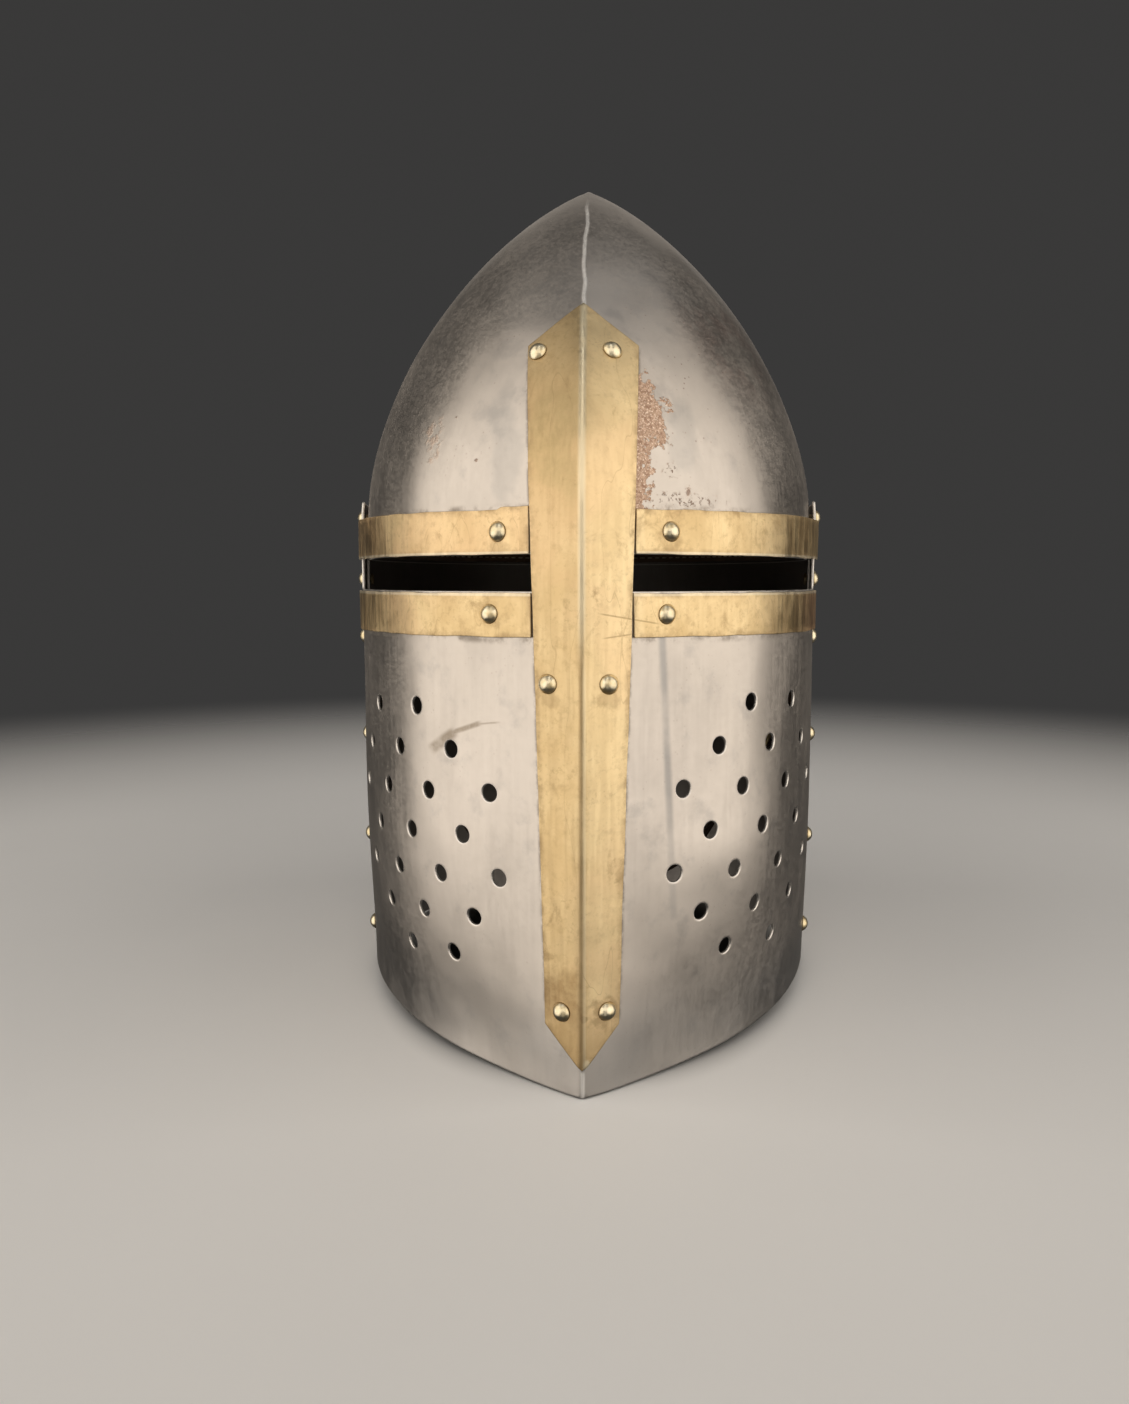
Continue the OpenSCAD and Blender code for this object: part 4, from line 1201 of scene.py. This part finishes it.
TONGUE_STITCHES = []
for number in range(1, 9):
    mid = (number - 0.5) * 45 - 180
    reach = tongue_layout(mid)

    def on_tongue(p, q, d, mid=mid, reach=reach):
        p, q, d = spread(p, q, d)
        v, turn_by = np.hypot(p, q), np.degrees(np.arctan2(p, -q))
        k = np.interp(v, reach[::-1], TONGUE_K[::-1])
        sag = 0.7 * np.sin(np.pi * k) * np.cos(np.radians(turn_by * 4.5))
        return dome(mid + turn_by, k, -d + sag * 0.6)

    ks = np.linspace(0, 1, 60)
    vs = np.interp(ks, TONGUE_K, reach)
    half = 17 * (1 - 0.15 * ks) * (1 - 0.10 * smooth((ks - 0.95) / 0.05))
    right = cols(vs * np.sin(np.radians(half)), -vs * np.cos(np.radians(half)))
    foot_t = np.radians(np.linspace(-half[0], half[0], 30))
    crown_t = np.radians(np.linspace(half[-1], -half[-1], 9))
    foot_line = reach[0] * cols(np.sin(foot_t), -np.cos(foot_t))
    crown_line = reach[-1] * cols(np.sin(crown_t), -np.cos(crown_t))
    outline = np.concatenate([foot_line, right[1:], crown_line[1:-1], (right * (-1, 1))[::-1][:-1]])
    outline = wobble(resample(outline, 1.6), 0.3, 20.0 + number)
    lace_v = float(np.interp(LACE_R, np.linalg.norm(dome(mid, TONGUE_K, 0.0)[:, :2], axis=1)[::-1],
                             reach[::-1]))
    tongue = plate("liner_crown_%d" % number, on_tongue, outline, 0.0, -TONGUE_T, 3.2, [lace_slit(lace_v)],
                   0.45)
    keep(tongue, "helm", "liner_leather", LINER, "liner_tongue_%d" % number)
    v = reach[0] - 2.0
    foot_t = np.radians(np.linspace(-half[0] + 1.5, half[0] - 1.5, 24))
    path = [(v * math.sin(t), -v * math.cos(t)) for t in foot_t]
    TONGUE_STITCHES += list(row_of(on_tongue, path, -TONGUE_T, 4.4, -1))
    for side in (-1, 1):
        path = [(side * v * math.sin(t), -v * math.cos(t))
                for v, t in zip(vs[3:54], np.radians(half[3:54]) - 2.2 / vs[3:54])]
        TONGUE_STITCHES += list(row_of(on_tongue, path, -TONGUE_T, 5.2, -1))
solid("stitches_crown", stitches(TONGUE_STITCHES, 3.4, 0.34), "helm", "lace_leather", THREAD)


def lace_point(t):
    return np.array([LACE_R * math.sin(t), -LACE_R * math.cos(t), CROWN_Z - 0.85 - 3.6 * math.cos(4 * t)])


lace_rings = []
lace_count = 240
for i in range(lace_count):
    t = 2 * math.pi * i / lace_count
    way = unit(lace_point(t + 0.01) - lace_point(t - 0.01))
    side = unit(np.cross(way, (0, 0, 1)))
    up = np.cross(side, way)
    twist = turns(12)
    radius = LACE_D / 2 * (0.94 + 0.06 * np.cos(3 * twist + 40 * t))
    lace_rings.append(lace_point(t) + radius[:, None]
                      * (np.cos(twist)[:, None] * side + np.sin(twist)[:, None] * up))
solid("crown_lace", [loft(lace_rings, closed=True)], "helm", "lace_leather", LACE, "liner_lace")

# ---- Chin strap --------------------------------------------------------------------------

STRAP_W, STRAP_T = 18.0, 2.2
PIVOT_X = 93.2
PIVOT_Y = float(body(SEAM_ANGLE, STRAP_Z, 0.0)[1]) + 0.85
LEG_TOP, LEG_TILT, STRAP_BOTTOM = 146.0, math.radians(26.7), 47.0
BAR_S, BAR_H, FAR_BAR_S, FOLD_R = 30.0, 2.7, 52.0, 2.8
FRAME_HALF, ROD_R = 11.0, 1.3


def leg_point(s, h):
    return (PIVOT_X - s * math.sin(LEG_TILT) + h * math.cos(LEG_TILT),
            LEG_TOP - s * math.cos(LEG_TILT) - h * math.sin(LEG_TILT))


def on_leg(s, y, h):
    x, z = leg_point(s, h)
    return np.array([x, PIVOT_Y + y, z])


def cut_corners(line):
    out = [line[0]]
    for p, q in zip(line, line[1:]):
        out += [0.75 * p + 0.25 * q, 0.25 * p + 0.75 * q]
    return np.array(out + [line[-1]])


class Ribbon:
    """Strap along a line in the upright plane through the rivets. Flat coordinates are (along, across)."""

    def __init__(self, line):
        for _ in range(4):
            line = cut_corners(np.asarray(line, float))
        self.line, self.run = line, run_along(line)
        way = unit(np.gradient(line, axis=0))
        self.side = cols(-way[:, 1], way[:, 0])
        self.length = self.run[-1]

    def __call__(self, p, q, d):
        p, q, d = spread(p, q, d)
        x, z = (np.interp(p, self.run, self.line[:, i]) for i in (0, 1))
        sx, sz = (np.interp(p, self.run, self.side[:, i]) for i in (0, 1))
        return cols(x + sx * d, PIVOT_Y + q, z + sz * d)

    def leg(self, s, h, after=0.0):
        far = np.linalg.norm(self.line - np.array(leg_point(s, h)), axis=1) + 1e3 * (self.run < after)
        return float(self.run[np.argmin(far)])


def slot_hole(start, finish, half_width, count=8):
    """Long hole with round ends."""
    def ring(grow):
        r = half_width + grow
        ends = []
        for centre, turn_from in ((finish - half_width, -90), (start + half_width, 90)):
            t = np.radians(np.linspace(turn_from, turn_from + 180, count))
            ends.append(cols(centre + r * np.cos(t), r * np.sin(t)))
        return resample(np.concatenate(ends), 1.5)
    return ring


def strap_outline(length, tip):
    """Round pad at the rivet end; the far end is pointed or square with eased corners."""
    r = STRAP_W / 2
    t = np.radians(np.linspace(90, 270, 26))
    pad = cols(PAD_EXTRA + r * np.cos(t), r * np.sin(t))
    if tip:
        u = np.linspace(0, 1, 14)
        lower = cols(length - 13 + 13 * np.sin(u * math.pi / 2), -r * np.cos(u * math.pi / 2) ** 0.8)
    else:
        lower = np.array([(length - 1.2, -r), (length, -r + 1.2), (length, 0)])
    end = np.concatenate([lower, (lower * (1, -1))[::-1][1:]])
    return resample(np.concatenate([pad, end]), 1.7)


PAD_EXTRA = STRAP_W / 2
pad_top = STRAP_Z + PAD_EXTRA
long_line = [(-PIVOT_X, pad_top), (-PIVOT_X, LEG_TOP), (-58, 76), (-44, 55), (-24, STRAP_BOTTOM),
             (24, STRAP_BOTTOM),
             (44, 55), leg_point(78, 0)]
long_line += [leg_point(s, h) for s, h in ((62, 0), (54, 0), (49.5, 0.1), (34, 7.6), (31, 7.9), (27, 7.4),
                                           (22, 5),
                                           (16, 4.9), (9, 4.9))]
short_line = [(PIVOT_X, pad_top), (PIVOT_X, 150), leg_point(0, 0), leg_point(27, 0)]
short_line += [leg_point(BAR_S + FOLD_R * math.sin(t), BAR_H - FOLD_R * math.cos(t))
               for t in np.radians(range(0, 166, 33))]
short_line += [leg_point(26.5, 4.6), leg_point(23, 2.5), leg_point(8, 2.4)]
PAD_HOLE = (SHANK_D + 1.2) / 2
long_way, short_way = Ribbon(long_line), Ribbon(short_line)
before_tip = long_way.length * 0.7


def prong_slot(way, s_low, s_high, h_low, h_high, half):
    ends = sorted((way.leg(s_low, h_low, before_tip if way is long_way else 0.0),
                   way.leg(s_high, h_high, before_tip if way is long_way else 0.0)))
    return slot_hole(ends[0], ends[1], half)


long_holes = [hole_on(long_way, (PAD_EXTRA, 0.0), PAD_HOLE, 24),
              prong_slot(long_way, 47.5, 32.5, 1.1, 7.75, 1.8)]
long_holes += [hole_on(long_way, (long_way.leg(s, 0.0), 0.0), 1.5, 18) for s in (62, 73, 84)]
fold_start, fold_end = short_way.leg(24.5, 0.0), short_way.leg(24.9, 3.7, short_way.leg(31, -0.1))
short_holes = [hole_on(short_way, (PAD_EXTRA, 0.0), PAD_HOLE, 24), slot_hole(fold_start, fold_end, 2.6)]
for name, way, tip, cuts, node in (("chin_strap_long", long_way, True, long_holes, "strap_long"),
                                   ("chin_strap_short", short_way, False, short_holes, "strap_short")):
    strap = plate(name, way, strap_outline(way.length, tip), STRAP_T / 2, -STRAP_T / 2, 2.2, cuts, 0.5)
    keep(strap, "chin_strap", "strap_leather", STRAP, node)

EDGE_ROW = STRAP_W / 2 - 2.2
rows = []
for way, start, finish in ((long_way, 14, long_way.length - 14), (short_way, 14, fold_start - 2)):
    for q in (-EDGE_ROW, EDGE_ROW):
        path = [(p, q) for p in np.arange(start, finish, 1.5)]
        for depth, sign in ((STRAP_T / 2, 1), (-STRAP_T / 2, -1)):
            rows += list(row_of(way, path, depth, 3.9, sign))
solid("stitches_strap", stitches(rows, 2.8, 0.33), "chin_strap", "lace_leather", THREAD)

# buckle: a bent and rounded frame, with the near bar a little thinner where the leather folds round it
frame_corner = 2.6
frame_path = []
for cs, cy, start in ((FAR_BAR_S, FRAME_HALF, 0), (BAR_S, FRAME_HALF, 90), (BAR_S, -FRAME_HALF, 180),
                      (FAR_BAR_S, -FRAME_HALF, 270)):
    for t in np.radians(np.linspace(start, start + 90, 7)):
        s = cs + (-frame_corner if cs > BAR_S + 1 else frame_corner) + frame_corner * math.cos(t)
        y = cy - math.copysign(frame_corner, cy) + frame_corner * math.sin(t)
        frame_path.append((s, y))
frame_path = resample(np.array(frame_path), 1.3)
frame_way = unit(np.roll(frame_path, -1, 0) - np.roll(frame_path, 1, 0))
across = cols(frame_way[:, 1], -frame_way[:, 0])
t = turns(16)
rings = []
for (s, y), (ns, ny) in zip(frame_path, across):
    thin = 0.93 if s < BAR_S + 0.5 else 1.0
    seat = 0.16 * math.exp(-(y / 1.6) ** 2) if s > FAR_BAR_S - 0.5 else 0.0
    rings.append([on_leg(s + ns * ROD_R * thin * c, y + ny * ROD_R * thin * c,
                         BAR_H + ROD_R * thin * k - (seat if k > 0.2 else 0.0))
                  for c, k in zip(np.cos(t), np.sin(t))])
solid("buckle_ring", [loft(rings, closed=True)], "chin_strap", "buckle_brass", BUCKLE, "buckle_frame")

# prong: a flat end wrapped round the near bar and drawn out to a rounded point
PRONG_RISE, PRONG_LENGTH, WRAP_R = math.radians(7.1), 24.5, 2.05
prong_line, prong_size = [], []
for share in np.linspace(0, 1, 26):
    turn_to = math.radians(-250 + 260 * share) + math.pi / 2 + 0.12
    prong_line.append((WRAP_R * math.cos(turn_to), WRAP_R * math.sin(turn_to)))
    prong_size.append((mix(1.9, 1.35, smooth(share)), 0.55))
aim = np.array([math.cos(PRONG_RISE), math.sin(PRONG_RISE)])
start_at = np.array(prong_line[-1])
for share in np.linspace(0.12, 1, 18):
    straight = aim * (PRONG_LENGTH * share)
    blend_in = float(smooth(share / 0.22))
    prong_line.append(tuple(mix(start_at + aim * (PRONG_LENGTH * share), straight, blend_in)))
    prong_size.append((mix(1.15, 0.8, share), mix(0.85, 0.72, share)))
for extra, size in ((0.35, 0.85), (0.62, 0.6), (0.8, 0.25)):
    prong_line.append(tuple(aim * (PRONG_LENGTH + extra)))
    prong_size.append((0.8 * size, 0.72 * size))
prong_line = np.array(prong_line)
prong_way = unit(np.gradient(prong_line, axis=0))
rings = []
for (s, h), (ws, wh), (half_y, half_h) in zip(prong_line, prong_way, prong_size):
    ring = []
    for c, k in zip(np.cos(t), np.sin(t)):
        u = math.copysign(abs(c) ** 0.7, c) * half_y
        v = math.copysign(abs(k) ** 0.7, k) * half_h
        ring.append(on_leg(BAR_S + s - wh * v, u, BAR_H + h + ws * v))
    rings.append(ring)
solid("prong_pin", [loft(rings)], "prong", "buckle_brass", BUCKLE, "buckle_prong")

# keeper: a strip of leather closed into a loop, with a stitched joint
keeper_s, keeper_long, keeper_wall = 16, 3.5, 1.05
keeper_low, keeper_high, keeper_half = -STRAP_T / 2 - 0.25, 6.25, STRAP_W / 2 + 0.2
centre_h, half_h = (keeper_low + keeper_high) / 2, (keeper_high - keeper_low + keeper_wall) / 2
loop = resample(rounded_section(half_h, keeper_half + keeper_wall / 2, 1.3, 6), 1.2)
loop_way = unit(np.roll(loop, -1, 0) - np.roll(loop, 1, 0))
strip = rounded_section(keeper_wall / 2, keeper_long, 0.35, 4)
rings = []
for (h, y), (wh, wy) in zip(loop, loop_way):
    nh, ny = wy, -wh
    wear_by = 0.12 * noise.noise((h * 0.3, y * 0.3, 2.0))
    rings.append([on_leg(keeper_s + b * (1 + 0.03 * wear_by), y + ny * a, centre_h + h + nh * a) for a,
                  b in strip])
edge_by = np.tile(np.minimum((keeper_long - np.abs(strip[:, 1])) / 10 + 0.02, 1), len(rings))
points, faces = loft(rings, closed=True)
keep(make_object("keeper_loop", points, faces, edge=edge_by), "chin_strap", "strap_leather", STRAP,
     "strap_keeper")
out_way = on_leg(0, 0, 1) - on_leg(0, 0, 0)
spots = [(on_leg(s, y, centre_h + half_h + keeper_wall / 2), np.array([0.0, 1.0, 0.0]), out_way)
         for s in (keeper_s - 2.0, keeper_s + 2.0) for y in np.arange(-6, 6.1, 3)]
solid("stitches_keeper", stitches(spots, 2.3, 0.3), "chin_strap", "lace_leather", THREAD)

# washers: turned rings between the back plate and the strap
WASHER_DEPTH = 4.4
washer_profile = [(1.75, 0.25), (2.0, 0.0), (4.1, 0.0), (4.42, 0.1), (4.5, 0.35), (4.5, 1.2), (4.4, 1.48),
                  (4.1, 1.6),
                  (2.0, 1.6), (1.75, 1.35)]
for name, side in (("left", -1), ("right", 1)):
    origin, e1, e2, n = frame_at(side * SEAM_ANGLE, STRAP_Z)
    rings = [[origin + (e1 * math.cos(v) + e2 * math.sin(v)) * r + n * (h - WASHER_DEPTH) for r,
              h in washer_profile]
             for v in turns(48)]
    solid("washer_" + name, [loft(rings, closed=True)], "helm", "steel_fittings", STEEL_FITTING,
          "strap_washer_" + name)

# ---- Stage, light and camera -------------------------------------------------------------

def soft_light(name, place, aim, width, height, radiance, color):
    """Rectangular soft box of an even brightness that faces a place and isn't seen itself."""
    data = bpy.data.lights.new(name, "AREA")
    data.shape, data.size, data.size_y = "RECTANGLE", width, height
    data.energy, data.color = radiance * math.pi * width * height, color
    obj = bpy.data.objects.new(name, data)
    bpy.context.scene.collection.objects.link(obj)
    obj.location = place
    obj.rotation_euler = (Vector(aim) - Vector(place)).to_track_quat("-Z", "Y").to_euler()
    obj.visible_camera = False


def floor_material():
    """Pale matt floor that fades into the plain background with distance."""
    s = Shade("pale_floor")
    far = s.math("SQRT", s.x * s.x + s.y * s.y)
    s.color = s.blend(s.span(s.noise(3, 3, 0.5), 0.3, 0.7), (0.84, 0.835, 0.82), (0.87, 0.865, 0.85))
    # painted shade: dark floor inside the rim, where only the holes and slits show it
    shade_under_rim = s.math("SQRT", s.math("POWER", s.x * (1 / 0.095), 2.0) + s.math("POWER", s.y * (1 / 0.13), 2.0))
    s.tint(s.span(shade_under_rim, 1.05, 0.8), (0.06, 0.06, 0.06))
    clear, fade = s.nodes.new("ShaderNodeBsdfTransparent"), s.nodes.new("ShaderNodeMixShader")
    s.put(fade.inputs[0], s.span(far, 0.45, 1.24))
    s.links.new(s.bsdf.outputs[0], fade.inputs[1])
    s.links.new(clear.outputs[0], fade.inputs[2])
    s.links.new(fade.outputs[0], s.out.inputs[0])
    return s.finish(0.0, 0.85)


FLOOR_R, FLOOR_SIDES, FLOOR_GAP = 8.0, 96, 0.0004
ts = turns(FLOOR_SIDES)
floor = make_object("floor", cols(np.cos(ts), np.sin(ts), 0 * ts) * FLOOR_R / MM, [tuple(range(FLOOR_SIDES))])
floor.location.z = cad_low[2] - FLOOR_GAP
floor.data.materials.append(floor_material())
floor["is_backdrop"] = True
# the metal mirrors only the soft boxes and the background, and boxes below the floor reach it
floor.visible_glossy = False

world = bpy.data.worlds.new("studio")
bpy.context.scene.world = world
world.use_nodes = True
world.node_tree.nodes["Background"].inputs[0].default_value = (0.30, 0.295, 0.29, 1)
world.node_tree.nodes["Background"].inputs[1].default_value = 0.14

WARM, COOL = (1.0, 0.93, 0.85), (0.97, 0.98, 1.0)
LOW_Z, HIGH_Z, FRONT_Z = 0.44, 2.0, 1.9
for side, name in ((-1, "left"), (1, "right")):
    soft_light(name + "_box", (side * 1.126, -0.65, LOW_Z), (0, 0, LOW_Z), 2.18, 1.72, 1.3, WARM)
    soft_light(name + "_high_box", (side * 1.22, -0.445, HIGH_Z), (0, 0, HIGH_Z), 1.3, 1.38, 0.98, WARM)
    top_radiance, low_radiance = (0.13, 1.1) if side < 0 else (0.33, 0.33)
    soft_light(name + "_top_box", (side * 0.77, 0.28, 2.2), (0, 0, 0.25), 1.0, 0.9, top_radiance, COOL)
    soft_light(name + "_low_box", (side * 1.2, -0.5, -0.59), (0, 0, -0.59), 1.5, 0.34, low_radiance, WARM)
soft_light("crown_box", (0.0, -0.75, 2.6), (0, -0.1, 0.3), 0.6, 1.0, 1.3, COOL)
soft_light("front_box", (0.0, -1.6, FRONT_Z), (0, 0, FRONT_Z), 1.1, 3.0, 1.0, WARM)
soft_light("low_front_box", (0.0, -1.75, -0.4), (0, 0, -0.4), 0.7, 2.0, 0.45, WARM)
soft_light("back_box", (0.0, 2.2, 1.15), (0, 0, 0.3), 1.4, 1.8, 0.35, WARM)
bpy.context.scene.view_settings.view_transform = "Standard"

cam_data = bpy.data.cameras.new("camera")
cam_data.lens, cam_data.sensor_width = 27.03, 36.0
cam_data.shift_x = -0.016
cam_data.clip_start = 0.01
camera = bpy.data.objects.new("camera", cam_data)
camera.location = (0.0081, -0.4874, 0.180)
camera.rotation_euler = (math.radians(83.4), 0.0, math.radians(1.05))
bpy.context.scene.collection.objects.link(camera)
bpy.context.scene.camera = camera

low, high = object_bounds()
{"cad": [list(cad_low), list(cad_high)], "visual": [list(low), list(high)]}
